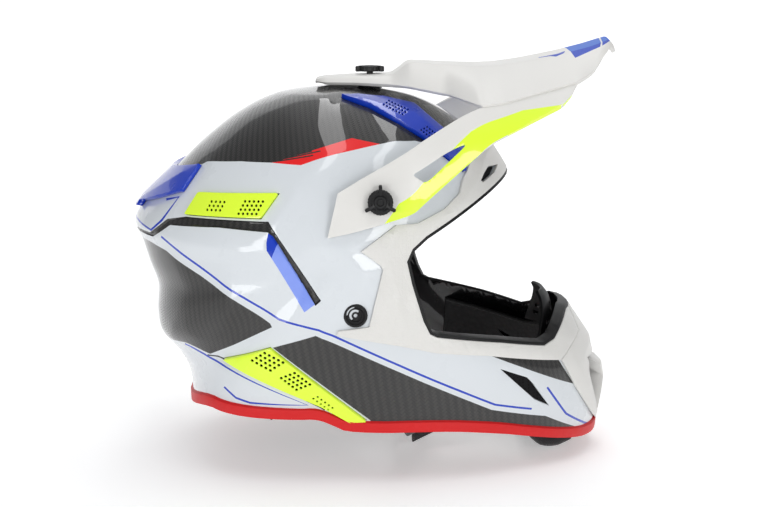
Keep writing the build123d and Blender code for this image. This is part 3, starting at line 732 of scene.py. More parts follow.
CROWN_VENT = [
    (5.5, 111.3), (17.8, 111.6), (36.9, 110.4), (58.2, 105.7), (79, 88.7), (97.5, 73.4),
    (93.3, 60), (79, 71.3), (66, 82.5), (47.4, 93.9), (26.2, 104.5),
]
SIDE_EXHAUST = [(-92.8, 47), (-34.8, 49.6), (-47.6, 31.8), (-102.9, 31.3)]
LOWER_EXHAUST = [(-76.5, -68.5), (-41.9, -56.8), (25.5, -109.3), (12.7, -110), (-6.7, -98.6)]
CHIN_VENT = [(119.4, -77.2), (139.4, -85.9), (143.6, -90.5), (156.9, -109.7), (145.5, -103)]
SPOILER = [
    (-121.6, 57.1), (-92.8, 63.7), (-104.9, 45.7), (-109.9, 44.2), (-138.2, 33.8),
    (-140.8, 30.3), (-190, 26), (-190, 75),
]
BASE_CORNERS = [
    (-220, -125), (-117.7, -119), (-91.1, -103), (-72, -106.7), (-23.2, -107.7),
    (-9.6, -106.9), (1.6, -111.6), (12.7, -117), (77.1, -117), (113.8, -122),
    (145, -129.5), (172, -136.5), (190, -140.5), (260, -142),
]
BASE_LINE = eased(BASE_CORNERS)
LINER = [
    (220, 112), (133, 68), (99, 51), (76, 38), (58, 27), (44, 15), (37, 4),
    (33, -6), (-20, -8), (-64, -22), (-100, -38), (-220, -38), (-220, 220), (220, 220),
]
CHEEK = [
    (46, -24), (52, -40), (62, -60), (66, -80), (58, -102), (30, -109), (10, -107),
    (-8, -103), (-22, -122), (-50, -127), (-66, -121), (-64, -62), (-40, -42), (20, -22),
]
NECK = [
    (-72, -66), (-70, -100), (-80, -97), (-92, -94), (-118, -108), (-170, -112), (-170, -66),
]
CURTAIN = [
    (136, -126), (142.4, -142.5), (150.6, -150.8), (157, -154.5), (164.4, -154.3),
    (178.2, -149.6), (182, -147), (172, -128),
]
FAR_CORNERS = [(260, 300), (-220, 300)]

# Paint of the shell.
CROWN_LINE = [
    (-92.6, 64.8), (-88.6, 66.5), (-63.4, 69.1), (-39.3, 69.4), (-20.4, 68), (-9.3, 71.5),
    (3.4, 74.8), (28, 79.8), (42.4, 82.4), (58.7, 82.9), (97.5, 73.4),
]
CROWN_CARBON = CROWN_LINE + [(260, 130), (260, 300), (-220, 300), (-220, 95), (-121.6, 57.1)]
RED_PANEL = [(-41, 69.4), (14.4, 85.5), (34, 80.9), (28, 79.8), (3.4, 74.8), (-9.3, 71.5), (-20.4, 68)]
RED_GAPS = [[(-40, 70.1), (-12, 74.4)], [(-33, 72.2), (-7, 77.2)], [(-27, 74.3), (-13, 77.2)]]
REAR_CARBON = [
    (-131.9, 8.7), (-117.4, 4.6), (-92, -9.5), (-66, -25.1), (-41.8, -40.2), (-40.5, -42.7),
    (-85.5, -66.7), (-104.4, -61.7), (-200, -70), (-240, 12),
]
LOWER_CARBON = [
    (-40.2, -57.3), (-10.2, -47.7), (48.1, -74.8), (82.6, -91.4), (113.5, -106.6),
    (154, -116.7), (199.7, -143.4), (199, -170), (60, -150), (24, -150), (27.5, -109.3),
]
CHIN_CARBON = [(109.6, -65.8), (163.8, -77.4), (176.3, -98.2), (136, -78.3)]
CHANNEL = [
    (-200, 16.5), (-128.5, 13.3), (-114.4, 23.5), (-77.5, 24.9), (-42.2, 23), (-10.2, -26.8),
    (-6.3, -23.2), (-34.6, 18.5), (-42.3, 30.3), (-102.5, 30.3), (-116.8, 27.3), (-131, 16),
    (-200, 18.5),
]
BLUE_STRIP = [
    (-42.2, 22.6), (-39.5, 20.5), (-10.6, -25.8), (-17.8, -31.3), (-40.4, 5.7), (-43.5, 10.8),
    (-43.5, 16.1),
]
PALE_STRIP = [(-36.2, 15.4), (-10.6, -25.8), (-17.8, -31.3), (-40.4, 5.7)]
PINSTRIPES = [
    [(-121.3, 14.8), (-68.8, -17.8), (-35.6, -36.7), (-15.2, -42.1), (-8.1, -43.8), (1.9, -48.3),
     (48.1, -70.1), (115.8, -102.9), (143.2, -109.5)],
    [(-119.4, 39.1), (-109.1, 42.2), (-121.3, 25.8), (-130, 17.9), (-152.3, 24.5)],
    [(-105.2, -63.2), (-90.1, -67.8), (-16.1, -98), (-57, -98.1), (-67.2, -95.7), (-76, -89.3)],
    [(155, -95.7), (168, -115.1), (170.6, -118.8), (198, -140)],
]
SEAM_LINE = [(-87.6, -67.8), (-80.1, -67.9), (-77, -68.9), (-42.5, -82.6), (-7.7, -99.4),
             (-4.2, -101.6)]
RIDGES = [
    [(-2.6, 15.2), (21.1, 8), (34.4, -1.9)],
    [(-11.5, -53.3), (10, -23), (34.4, -2.6)],
    [(-28, -40.8), (-0.3, -16), (28.7, 3.1)],
    [(-47.1, 15.9), (-31.2, 45.2), (-0.4, 71.8), (45.3, 80.2)],
    [(-92.4, 64.4), (-70.1, 87.4), (-57, 99.3), (-20.2, 112), (5.3, 111.5)],
    [(-108.1, -2.3), (-98.8, -21.8), (-109, -49), (-107.5, -72)],
    [(-72.4, -17.1), (-72, -39.9), (-79, -67.1)],
    [(-104.4, -61.7), (-75.1, -64.2), (-21.5, -88.6), (-9.1, -96.5), (13.2, -108.9)],
]


# ---------------------------------------------------------------- relief
def to_segment(x, z, a, b):
    dx, dz = b[0] - a[0], b[1] - a[1]
    t = max(0.0, min(1.0, ((x - a[0]) * dx + (z - a[1]) * dz) / (dx * dx + dz * dz)))
    return math.hypot(x - a[0] - t * dx, z - a[1] - t * dz)


def to_line(x, z, points):
    return min(to_segment(x, z, a, b) for a, b in zip(points, points[1:]))


def to_edge(x, z, outline):
    return to_line(x, z, outline + outline[:1])


COVERED = [SURROUND, CROWN_VENT, SIDE_EXHAUST, LOWER_EXHAUST, SPOILER, NOSE_COVER]


def shell_relief(x, z):
    """Creases stand up to a millimetre and a half, not under the peak; the channel is let in."""
    ease = max(0.0, min(1.0, (115.5 - z) / 4))
    for outline in COVERED:
        if in_polygon((x, z), outline):
            return 0.0
        ease = min(ease, to_edge(x, z, outline) / 10)
    rise = sum(max(0.0, 1 - to_line(x, z, ridge) / 24) ** 2 for ridge in RIDGES)
    height = min(1.5, 1.9 * rise) * ease
    if in_polygon((x, z), CHANNEL):
        edge = to_edge(x, z, CHANNEL)
        height -= 1.5 * min(1.0, edge / 0.9)
    return height


def dome_width(x, z):
    """Half-width of the shell at a side-view point."""
    return -from_disc(to_disc(x, z), 0.0).y


def front_outline(profile):
    """Side-view outline of a shape on the chin, from its (half-width, z) profile."""
    points = []
    for half_width, z in profile:
        low, high = 100.0, 260.0
        for _ in range(40):
            middle = (low + high) / 2
            low, high = (middle, high) if dome_width(middle, z) > half_width else (low, middle)
        points.append((low, z))
    return points + [(300, profile[-1][1]), (300, profile[0][1])]


def steps(start, end, count):
    return [start + (end - start) * k / (count - 1) for k in range(count)]


MOUTH = front_outline([(20, -127), (26, -118), (31, -108), (34, -98), (34, -90), (34, -82)])
MOUTH_BAR = front_outline([(8.5, z) for z in steps(-127, -97, 8)] + [(19, -96), (19, -88)])


# ---------------------------------------------------------------- hard parts
def make_shell():
    border = [(x, z + 2.4) for x, z in BASE_LINE] + FAR_CORNERS
    layers = [([stroke(line, 1.5) for line in PINSTRIPES], 3), ([stroke(SEAM_LINE, 1.0)], 5),
              ([PALE_STRIP], 4), ([BLUE_STRIP], 3), ([stroke(gap, 0.9) for gap in RED_GAPS], 1),
              ([RED_PANEL], 2),
              ([CROWN_CARBON, REAR_CARBON, LOWER_CARBON, CHIN_CARBON, CHANNEL], 1)]
    inner_channel = grown(CHANNEL, -0.9)
    covering(
        "shell_skin", "painted_composite", ["shell"], border, -SHELL_WALL, 0.0,
        [WHITE, CARBON, RED, BLUE, PALE_BLUE, BLACK],
        holes=[EYEPORT, MOUTH, CROWN_VENT, SIDE_EXHAUST, LOWER_EXHAUST, CHIN_VENT, BROW_VENT],
        paints=[(outline, index) for outlines, index in layers for outline in outlines],
        lines=RIDGES + [inner_channel + inner_channel[:1]],
        relief=shell_relief, under=5, spacing=0.016, bevel=0.5)


def make_covers():
    opening = grown(EYEPORT, OPENING_GROWTH)
    covering(
        "eyeport_surround_cover", "satin_white", ["eyeport_surround"], SURROUND, *PANEL, [GRAIN],
        holes=[opening, grown(NOSE_COVER, 0.5), grown(CROWN_VENT, FIT), BROW_VENT],
        relief=surround_relief, lines=SURROUND_RIDGES, bevel=0.5)
    covering(
        "nose_cover_panel", "satin_white", ["nose_cover"], NOSE_COVER, *PANEL, [SATIN],
        holes=[opening, MOUTH], relief=nose_relief, lines=NOSE_RIDGES, bevel=0.5)
    covering(
        "mouth_vent_upright", "satin_white", ["mouth_vent_bar"], MOUTH_BAR, -SHELL_WALL, 3.2,
        [SATIN], relief=bar_relief, spacing=0.012, bevel=0.6)
    screen = front_outline([(34.8, z) for z in steps(-128, -81.5, 12)])
    covering("mouth_vent_screen", "black_plastic", ["mouth_vent_mesh"], screen, -4.9, -3.4,
             [MESH_BLACK], bevel=0)
    covering(
        "eyeport_seal", "black_rubber", ["eyeport_gasket"], grown(EYEPORT, SEAL_GROWTH),
        SEAL_INSIDE, 1.8, [RUBBER_BLACK], holes=[grown(EYEPORT, SEAL_INNER)], bevel=0.5)
    trim_outline = BASE_LINE + [(x, z + TRIM_HEIGHT) for x, z in reversed(BASE_LINE)]
    covering("base_seal", "red_rubber", ["base_trim"], trim_outline, SEAL_INSIDE, 2.4,
             [RUBBER_RED], bevel=0.9)
    covering(
        "rear_spoiler_panel", "blue_gloss", ["rear_spoiler"], SPOILER, 0.4, 3.4, [BLUE],
        relief=spoiler_relief, lines=[SPOILER_CREASE], spacing=0.012, bevel=0.6)


SURROUND_RIDGES = [
    [(44.5, 27.8), (38, 8), (41, -6), (48, -40), (48, -55.3)],
    [(72.5, -61.2), (110, -59), (150, -67)],
    [(59.7, 28.3), (84, 34), (100, 52), (112, 77)],
]
NOSE_RIDGES = [
    [(171.8, -50), (174, -62), (172, -74), (183, -96), (199, -128)],
    [(200, -60), (178, -84), (260, -96)],
]
SPOILER_CREASE = [(-104, 57), (-118, 48), (-136, 36)]


def ridged(x, z, lines, width, height):
    return height * min(1.0, sum(max(0.0, 1 - to_line(x, z, line) / width) ** 2 for line in lines))


def surround_relief(x, z):
    edge = min(to_edge(x, z, SURROUND), to_line(x, z, EYEPORT) - OPENING_GROWTH)
    return ridged(x, z, SURROUND_RIDGES, 14, 1.6) * min(1.0, max(0.0, edge) / 4)


def nose_relief(x, z):
    return ridged(x, z, NOSE_RIDGES, 10, 1.6) * min(1.0, to_edge(x, z, NOSE_COVER) / 4)


def bar_relief(_, z):
    """The bar stands 6 mm further out at its top, fading over 30 mm downwards."""
    return 6.0 * max(0.0, 1 - max(0.0, -98 - z) / 30)


def spoiler_relief(x, z):
    lip = max(0.0, 1 - to_line(x, z, SPOILER[3:7]) / 12)
    return 1.5 * lip ** 2 + ridged(x, z, [SPOILER_CREASE], 9, 1.4)


def thin_within(outline):
    """Moulding hollowed from behind to 0.9 mm, but for a wall along its outline."""
    return lambda x, z: HOLLOW if to_edge(x, z, outline) > HOUSING_WALL else 0.0


CROWN_RIB = [(5.5, 111.3), (26.2, 104.5), (47.4, 93.9), (66, 82.5), (79, 71.3), (93.3, 60)]
CROWN_FOLD = [(17.8, 109), (58.2, 99), (97.5, 68)]
CROWN_LINES = [
    [(12, 109.5), (26.2, 106.6), (47.4, 96.6), (66, 85.3), (82, 72.2)],
    [(17.8, 109), (58.2, 99), (92, 73)],
]


def crown_relief(x, z):
    rib = max(0.0, 1 - to_line(x, z, CROWN_RIB) / 7)
    fold = max(0.0, 1 - to_line(x, z, CROWN_FOLD) / 6)
    return 1.1 * rib + 0.9 * fold


def make_vents():
    crown_holes = dots(36, 104, 7, 3, 2.4, -0.42, 0.7) + dots(62, 88, 5, 3, 2.3, -0.68, 0.7)
    covering(
        "crown_vent_housing", "blue_gloss", pair("crown_vent"), grown(CROWN_VENT, -FIT), -1.0, 2.2,
        [BLUE], holes=crown_holes, relief=crown_relief, sink=thin_within(CROWN_VENT),
        lines=CROWN_LINES, spacing=0.012, bevel=0.4)
    side_holes = dots(-85, 35.8, 4, 3, 3.1, 0.03, 0.95) + dots(-62.5, 34.6, 5, 4, 3.1, 0.03, 0.95)
    lean = math.atan2(-109.3 + 56.8, 25.5 + 41.9)
    low_holes = dots(-54, -66, 5, 4, 3.5, lean + 0.2, 1.1) + dots(-34, -77.5, 5, 4, 3.3, lean, 1.05)
    low_holes += dots(-12, -92, 5, 2, 3.2, lean, 0.8)
    for name, outline, radius, holes in (("side_exhaust", SIDE_EXHAUST, 1.5, side_holes),
                                         ("lower_exhaust", LOWER_EXHAUST, 1.2, low_holes)):
        covering(
            f"{name}_housing", "yellow_gloss", pair(name), rounded(grown(outline, -FIT), radius),
            -1.0, 2.4, [YELLOW], holes=holes, sink=thin_within(outline), spacing=0.012, bevel=0.2)
    for name, outline in (("crown_vent", CROWN_VENT), ("side_exhaust", SIDE_EXHAUST),
                          ("lower_exhaust", LOWER_EXHAUST), ("chin_vent", CHIN_VENT),
                          ("brow_vent", BROW_VENT)):
        covering(f"{name}_screen", "black_plastic", pair(f"{name}_mesh"), grown(outline, -FIT),
                 *SCREEN, [MESH_BLACK], bevel=0)


def turned(name, profile, centre, axis, materials, body, lobes=None):
    """Piece turned about axis from (radius, height) points; lobes(angle, radius) shapes it."""
    count = 180
    across = Vector((1, 0, 0)) if abs(axis.x) < 0.5 else Vector((0, 1, 0))
    other = axis.cross(across).normalized()
    mesh = bmesh.new()
    rings = []
    for radius, height in profile:
        ring = []
        for k in range(count):
            angle = 2 * math.pi * k / count
            reach = lobes(angle, radius) if lobes else radius
            ring.append(mesh.verts.new(EAR + (centre + axis * height
                        + (across * math.cos(angle) + other * math.sin(angle)) * reach) * MM))
        rings.append(ring)
    loft(mesh, rings)
    return to_object(name, mesh, materials, body, smooth_angle=32)


def fin_reach(angle, radius):
    """Three blunt fins standing past a finely fluted disc."""
    if radius < 6:
        return radius
    near = min(abs((angle - start + math.pi) % (2 * math.pi) - math.pi)
               for start in (math.pi / 2, math.pi * 7 / 6, math.pi * 11 / 6))
    half_width, reach, flank = 1.15, 3.2, 0.3
    if near * radius < half_width:
        return radius + reach * min(1.0, (half_width - near * radius) / flank)
    return radius + 0.12 * math.cos(angle * 24)


# Turned pieces: (radius, height) points from the hidden shank outwards.
SCREW_PROFILE = [
    (2.4, -12), (2.4, 0.2), (8.2, 0.2), (8.75, 0.8), (8.75, 3.6), (8.2, 4.3), (6.6, 4.4),
    (5.6, 3.4), (4.6, 3.1), (4.2, 3.8), (2.6, 3.9), (2.2, 3.2),
]
CAP_PROFILE = [
    (3.9, -6), (3.9, -0.2), (7.6, -0.2), (8.35, 0.6), (8.35, 2.2), (7.7, 3.1), (6.6, 3.2),
    (6.2, 2.3), (5.6, 2.3), (5.2, 2.9), (4.5, 2.9), (4.1, 1.7), (2.8, 1.7), (2.5, 2.8),
    (1.6, 2.8), (1.2, 1.6),
]


def make_screws():
    for side, sign in (("right", -1), ("left", 1)):
        axis = Vector((0, sign, 0))
        for name, profile, centre, body, lobes, node in (
                ("thumb_screw", SCREW_PROFILE, (34.5, sign * 129.4, 45.5), f"screw_{side}",
                 fin_reach, "peak_screw"),
                ("strap_cap", CAP_PROFILE, (17.3, sign * 123.5, -34), "helmet",
                 None, "strap_anchor")):
            piece = turned(f"{name}_{side}", profile, Vector(centre), axis, [PLASTIC_BLACK],
                           body, lobes)
            declare(piece, "black_plastic", f"{node}_{side}")
    top = turned("thumb_screw_top", SCREW_PROFILE, Vector((26.6, 0, 127.4)), Vector((0, 0, 1)),
                 [PLASTIC_BLACK], "screw_top", fin_reach)
    declare(top, "black_plastic", "peak_screw_top")


# ---------------------------------------------------------------- peak
ARM_STATIONS = [
    ((-1.7, 129.0, 20.4), (5.4, 127.6, 51)),
    ((14.7, 128.9, 23.8), (20, 126.4, 60)),
    ((36.8, 128.4, 30.1), (38, 123.6, 70)),
    ((57.3, 126, 36.5), (55, 119.6, 80)),
    ((65.9, 123, 44.4), (68, 113, 88.5)),
    ((97.4, 115, 71.8), (89, 105, 101)),
    ((110.3, 111, 83.1), (104.5, 97, 107.6)),
    ((133.6, 105, 95.3), (120, 90.5, 109)),
    ((150, 98, 103.5), (140, 82.5, 114)),
    ((161.5, 92, 108.8), (162, 75.5, 119.7)),
    ((169, 82, 115.2), (173.5, 71.5, 122.7)),
]
ARM_WINDOW = [(55.6, 63.2), (66.8, 57.6), (95.3, 84.4), (80.4, 78.5)]
DECK_STATIONS = [
    (-13.4, 122.6, 11, 122.2, 14, 121),
    (-7.5, 124.4, 15, 124, 22, 120.6),
    (16.6, 125.6, 18, 125.4, 27, 120.6),
    (43, 126.4, 21, 126.2, 36, 119.8),
    (55, 135.8, 26, 135.4, 43, 118.6),
    (82, 134.8, 30, 134, 56, 114.2),
    (104.5, 134.4, 34, 133, 98, 108.6),
    (120, 135, 35, 133.6, 91.5, 110),
    (140, 138, 34, 136.6, 83.5, 115),
    (162, 142.4, 33, 141, 76.5, 120.7),
    (174, 145.4, 32, 143.6, 72.5, 123.7),
    (186, 148.6, 30, 146.6, 60, 129.5),
    (195, 151.6, 26, 149.4, 44, 140),
    (204, 154.3, 16, 152.4, 27, 148.4),
    (206.5, 146.5, 15, 145.5, 24, 143.5),
]
PEAK_WALL = 2.8


def row_between(rows, place):
    """Straight-line row of a table whose first column is place."""
    for a, b in zip(rows, rows[1:]):
        if place <= b[0]:
            t = max(0.0, (place - a[0]) / (b[0] - a[0]))
            return [u + (v - u) * t for u, v in zip(a, b)]
    return list(rows[-1])


def softened(rows, place, window):
    """The same, its corners eased over window to each side."""
    window = min(window, place - rows[0][0], rows[-1][0] - place)
    if window <= 0:
        return row_between(rows, place)
    found = [row_between(rows, place + window * k / 3) for k in range(-3, 4)]
    return [sum(column) / len(found) for column in zip(*found)]


ARM_ROWS = [[float(k), *low, *high] for k, (low, high) in enumerate(ARM_STATIONS)]


def arm_point(s, t):
    """Arm surface: s counts stations from the rear, t runs from its lower edge up."""
    row = softened(ARM_ROWS, s, 0.3)
    low, high = Vector(row[1:4]), Vector(row[4:7])
    place = low + (high - low) * t
    belly = 2.2 * math.sin(math.pi * min(1.0, max(0.0, t))) * math.sin(math.pi * min(1, max(0, s / 10)))
    return Vector((place.x, -place.y - belly, place.z))


def arm_address(x, z):
    """(s, t) of the arm at a side-view point, by Newton's rule."""
    starts = [(a / 2, b / 4) for a in range(21) for b in range(-1, 6)]
    _, s, t = min((math.hypot(arm_point(a, b).x - x, arm_point(a, b).z - z), a, b)
                  for a, b in starts)
    for _ in range(12):
        here = arm_point(s, t)
        ds = (arm_point(s + 0.01, t) - here) / 0.01
        dt = (arm_point(s, t + 0.01) - here) / 0.01
        ex, ez = x - here.x, z - here.z
        det = ds.x * dt.z - dt.x * ds.z
        if abs(det) < 1e-6:
            break
        s += max(-1, min(1, (ex * dt.z - dt.x * ez) / det))
        t += max(-1, min(1, (ds.x * ez - ex * ds.z) / det))
        s = max(0.0, min(10.0, s))
        t = max(-0.3, min(1.3, t))
    return s, t


def deck_point(x, t):
    """Deck surface: t runs from the middle, over the ridge at one half, to the edge at 1."""
    _, centre, ridge_y, ridge_z, edge_y, edge_z = softened(DECK_STATIONS, x, 2.5)
    if t < 0.5:
        u = t * 2
        y = ridge_y * u
        z = centre + (ridge_z - centre) * abs(u) ** 1.5
    else:
        u = t * 2 - 1
        y = ridge_y + (edge_y - ridge_y) * u
        z = ridge_z + (edge_z - ridge_z) * u + 1.2 * math.sin(math.pi * u)
    return Vector((x, -y, z))


def sheet_of(name, verts, kept, surface, wall, materials, sides, body, bevel, grid_uv=0.001):
    """Sheet on a two-parameter surface, thickened inwards by wall."""
    top, bottom, uvs = {}, {}, {}
    for v in {v for face, _ in kept for v in face}:
        a, b = verts[v]
        here = surface(a, b)
        along = surface(a + 0.01, b) - surface(a - 0.01, b)
        across = surface(a, b + 0.01) - surface(a, b - 0.01)
        normal = along.cross(across)
        normal.normalize()
        top[v] = here
        bottom[v] = here + normal * wall
        if abs(here.y) < 1e-6:
            bottom[v].y = 0.0
        uvs[v] = (a * grid_uv, b * grid_uv)
    return build_sheet(name, kept, top, bottom, uvs, materials, sides, 0, bevel, body)


def scaled_loop(points, scale):
    return [Vector((x * scale[0], y * scale[1])) for x, y in points]


def make_peak():
    scale = (15.0, 36.0)
    surface = lambda a, b: arm_point(a / scale[0], b / scale[1])
    border = divided([(0, 0), (10, 0), (10, 1), (0, 1)], 0.06)
    window = rounded([arm_address(x, z) for x, z in ARM_WINDOW], 0.25)
    band = ([arm_address(x, z) for x, z in YELLOW_LOWER] + [(10, 0.02), (10, 0.35)]
            + [arm_address(x, z) for x, z in YELLOW_UPPER])
    seam = [arm_address(x, z) for x, z in ARM_CREASE]
    border, window, band, seam = (scaled_loop(loop, scale) for loop in (
        border, divided(window, 0.08), divided(band, 0.08), divided(seam, 0.08, closed=False)))
    verts, kept = triangulate(border, [window], [(band, 1)], [seam], spacing=2.6)
    arms = sheet_of("peak_arms", verts, kept, surface, -PEAK_WALL, [SATIN, YELLOW], "both", "peak", 0.7)
    declare(arms, "satin_white", "peak")
    tscale = 66.0
    deck_surface = lambda a, b: deck_point(a, b / tscale)
    border = divided([(-13.4, 0), (206.5, 0), (206.5, tscale), (-13.4, tscale)], 3)
    slot_hole = [(15.8, -1), (33.9, -1), (33.9, 0.071 * tscale), (15.8, 0.071 * tscale)]
    crease = divided([(-13.4, tscale / 2), (206.5, tscale / 2)], 3, closed=False)
    stations = [divided([(x, 0), (x, tscale)], 3, closed=False) for x in (43, 55, 82, 104.5, 174)]
    # The two quads on the deck's top face take the paler blue as a painted reflection; the side quads
    # and the last mark keep the tip's own blue.
    blues = [([(x, t * tscale) for x, t in quad], 2 if k < 2 else 1)
             for k, quad in enumerate(DECK_BLUES)]
    loops = [[Vector(p) for p in loop] for loop in [border, slot_hole, crease] + stations]
    paints = [([Vector(p) for p in loop], index) for loop, index in blues]
    verts, kept = triangulate(loops[0], [loops[1]], paints, loops[2:], spacing=3.0)
    deck = sheet_of("peak_deck", verts, kept, deck_surface, PEAK_WALL,
                    [SATIN, TIP_BLUE, TIP_BLUE_PAINTED_REFLECTION], "both", "peak", 0.7)
    declare(deck, "satin_white", "peak")


YELLOW_LOWER = [(36, 28.6), (57.5, 34.5), (97.4, 71.5), (112, 84), (133.6, 95), (150, 103.2)]
YELLOW_UPPER = [(166, 109.5), (133.5, 105.5), (114.5, 99.5), (97, 92), (88, 84), (66.8, 61), (47, 44)]
ARM_CREASE = [(8, 33), (36, 46), (58, 62), (82, 84), (104, 99), (130, 108)]
DECK_BLUES = [
    [(172.5, 0), (197.2, 0), (195.8, 0.5), (173, 0.5)],
    [(198.4, 0), (204.6, 0), (203.9, 0.5), (197, 0.5)],
    [(173, 0.5), (195.8, 0.5), (194.5, 0.66), (175, 0.64)],
    [(197, 0.5), (203.9, 0.5), (203.4, 0.66), (196, 0.68)],
    [(150, 0.40), (164, 0.42), (168.5, 0.35), (170, 0.35), (168, 0.5), (162, 0.53), (150, 0.44)],
]


# ---------------------------------------------------------------- breath deflector
GUARD_STATIONS = [(-70, 163.5, 62), (-60, 165, 58), (-50, 165, 48), (-42, 163, 38), (-35, 159, 26)]


def guard_point(a, b):
    """a is height above the foot, b the turn of the bow in degrees."""
    z, reach, half_span = softened(GUARD_STATIONS, max(-70.0, min(-35.0, a)), 4)
    turn = math.radians(b)
    curl = 1.2 * max(0.0, 1 - (-35 - a) / 5)
    bow = 0.5 * half_span * (1 - math.cos(turn))
    return Vector((reach - bow - curl, -half_span * math.sin(turn), a))


def make_guard():
    border = divided([(-70, 0), (-35, 0), (-35, 54), (-70, 54)], 2.5)
    hole = [(-47 + 3.0 * math.cos(k * math.pi / 6), 24 + 4.5 * math.sin(k * math.pi / 6))
            for k in range(12)]
    slots = [[(z, 34), (z + 3, 32), (z + 3, 44), (z, 42)] for z in (-64, -58)]
    verts, kept = triangulate([Vector(p) for p in border],
                              [[Vector(p) for p in loop] for loop in [hole] + slots], spacing=2.4)
    guard = sheet_of("breath_deflector", verts, kept, guard_point, -2.2, [RUBBER_BLACK],
                     "both", "helmet", 0.6)
    declare(guard, "black_rubber", "nose_guard")


# ---------------------------------------------------------------- padding
def puffed(piece, cap, pressure=4.0, voxel=0.005):
    """The pad swollen by a short cloth run, no point moving further than cap metres."""
    remesh = piece.modifiers.new("even", "REMESH")
    remesh.mode = "VOXEL"
    remesh.voxel_size = voxel
    apply_modifiers(piece)
    start = [v.co.copy() for v in piece.data.vertices]
    cloth = piece.modifiers.new("fill", "CLOTH")
    cloth.settings.use_pressure = True
    cloth.settings.uniform_pressure_force = pressure
    cloth.settings.effector_weights.gravity = 0
    cloth.settings.tension_stiffness = 20
    cloth.settings.quality = 4
    scene = bpy.context.scene
    for number in range(1, 15):
        scene.frame_set(number)
    graph = bpy.context.evaluated_depsgraph_get()
    moved = [v.co.copy() for v in piece.evaluated_get(graph).data.vertices]
    piece.modifiers.clear()
    scene.frame_set(1)
    for vertex, old, new in zip(piece.data.vertices, start, moved):
        step = new - old
        vertex.co = old + (step if step.length < cap else step.normalized() * cap)
    ease = piece.modifiers.new("ease", "SMOOTH")
    ease.iterations = 3
    apply_modifiers(piece)
    return piece


def press_seams(piece, lines, depth, width):
    """Sewn lines pressed into a pad, along side-view polylines."""
    for vertex in piece.data.vertices:
        place = (vertex.co - EAR) / MM
        near = min(to_line(place.x, place.z, line) for line in lines)
        share = max(0.0, 1 - near / width)
        outwards = Vector((0, -1 if place.y < 0 else 1, 0))
        vertex.co -= outwards * depth * MM * share ** 2 * (1 if abs(place.y) < 84 else -1)


def block(name, outline, half_width, materials):
    """Closed block of a side-view outline, across the middle plane."""
    mesh = bmesh.new()
    caps = [[mesh.verts.new(EAR + Vector((x, y, z)) * MM) for x, z in outline]
            for y in (-half_width, half_width)]
    loft(mesh, caps)
    return to_object(name, mesh, materials)


def subdivided(piece):
    modifier = piece.modifiers.new("fine", "SUBSURF")
    modifier.levels = modifier.render_levels = 1
    apply_modifiers(piece)
    smooth(piece, 60)


def mirrored(piece, name):
    mesh = piece.data.copy()
    mesh.transform(Matrix.Scale(-1, 4, (0, 1, 0)))
    mesh.flip_normals()
    other = bpy.data.objects.new(name, mesh)
    bpy.context.collection.objects.link(other)
    return other


def make_pads():
    cheek_seams = [[(40, -30), (20, -60), (12, -100)], [(-20, -50), (-26, -112)],
                   [(58, -50), (-50, -90)]]
    cheek = conformal("cheek_cushion_right", grown(CHEEK, -2), -42, -13.2,
                      [KNIT], sides="right", spacing=0.03, bevel=0)
    puffed(cheek, 0.004)
    press_seams(cheek, cheek_seams, 3.0, 6)
    subdivided(cheek)
    left = mirrored(cheek, "cheek_cushion_left")
    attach(left, "helmet")
    for piece, side in ((cheek, "right"), (left, "left")):
        declare(piece, "liner_fabric", f"cheek_pad_{side}")
    liner_seams = [[(-40, 30), (-100, 0)], [(0, 40), (-30, 90)], [(30, 40), (60, 90)],
                   [(-60, 30), (-80, 70)]]
    liner = conformal("comfort_lining", grown(LINER, -1), -31.8 - 9, -31.8 - 0.5, [KNIT],
                      spacing=0.03, bevel=0)
    puffed(liner, 0.002, voxel=0.006)
    press_seams(liner, liner_seams, 1.8, 6)
    subdivided(liner)
    declare(liner, "liner_fabric", "comfort_liner")
    roll = conformal("neck_cushion", grown(NECK, -2), -24, -7.5, [KNIT], spacing=0.03, bevel=0)
    puffed(roll, 0.003)
    subdivided(roll)
    declare(roll, "liner_fabric", "neck_roll")
    curtain = block("chin_skirt", grown(CURTAIN, -1), 38, [KNIT])
    puffed(curtain, 0.002)
    subdivided(curtain)
    declare(curtain, "liner_fabric", "chin_curtain")


# ---------------------------------------------------------------- chin strap
STRAP_LEAN = math.radians(26.5)
STRAP_DOWN = Vector((math.sin(STRAP_LEAN), 0, -math.cos(STRAP_LEAN)))
STRAP_FORWARD = Vector((math.cos(STRAP_LEAN), 0, math.sin(STRAP_LEAN)))


def strap_place(left, up, forward):
    """Strap-plane coordinates in millimetres to the row frame."""
    place = Vector((ANCHOR[0], left, ANCHOR[1])) - STRAP_DOWN * up + STRAP_FORWARD * forward
    return EAR + place * MM


def filleted(points, radii, count=6):
    """Open path with round corners, as (left, up) pairs."""
    path = [Vector(points[0])]
    for k, radius in enumerate(radii):
        before, here, after = (Vector(points[k + j]) for j in (0, 1, 2))
        run_in, run_out = (before - here).normalized(), (after - here).normalized()
        half = math.acos(max(-1, min(1, run_in.dot(run_out)))) / 2
        cut = radius / math.tan(half)
        centre = here + (run_in + run_out).normalized() * radius / math.sin(half)
        start, end = here + run_in * cut - centre, here + run_out * cut - centre
        for step in range(count + 1):
            t = step / count
            path.append(centre + (start * (1 - t) + end * t).normalized() * radius)
    return path + [Vector(points[-1])]


def swept(name, path, section, frame_of, materials, body, closed_path=False, smooth_angle=40):
    """Tube of a section carried along a path; frame_of(k) gives its place for (a, b)."""
    mesh = bmesh.new()
    rings = [[mesh.verts.new(frame_of(k, a, b)) for a, b in section] for k in range(len(path))]
    loft(mesh, rings, closed_path)
    return to_object(name, mesh, materials, body, smooth_angle=smooth_angle)


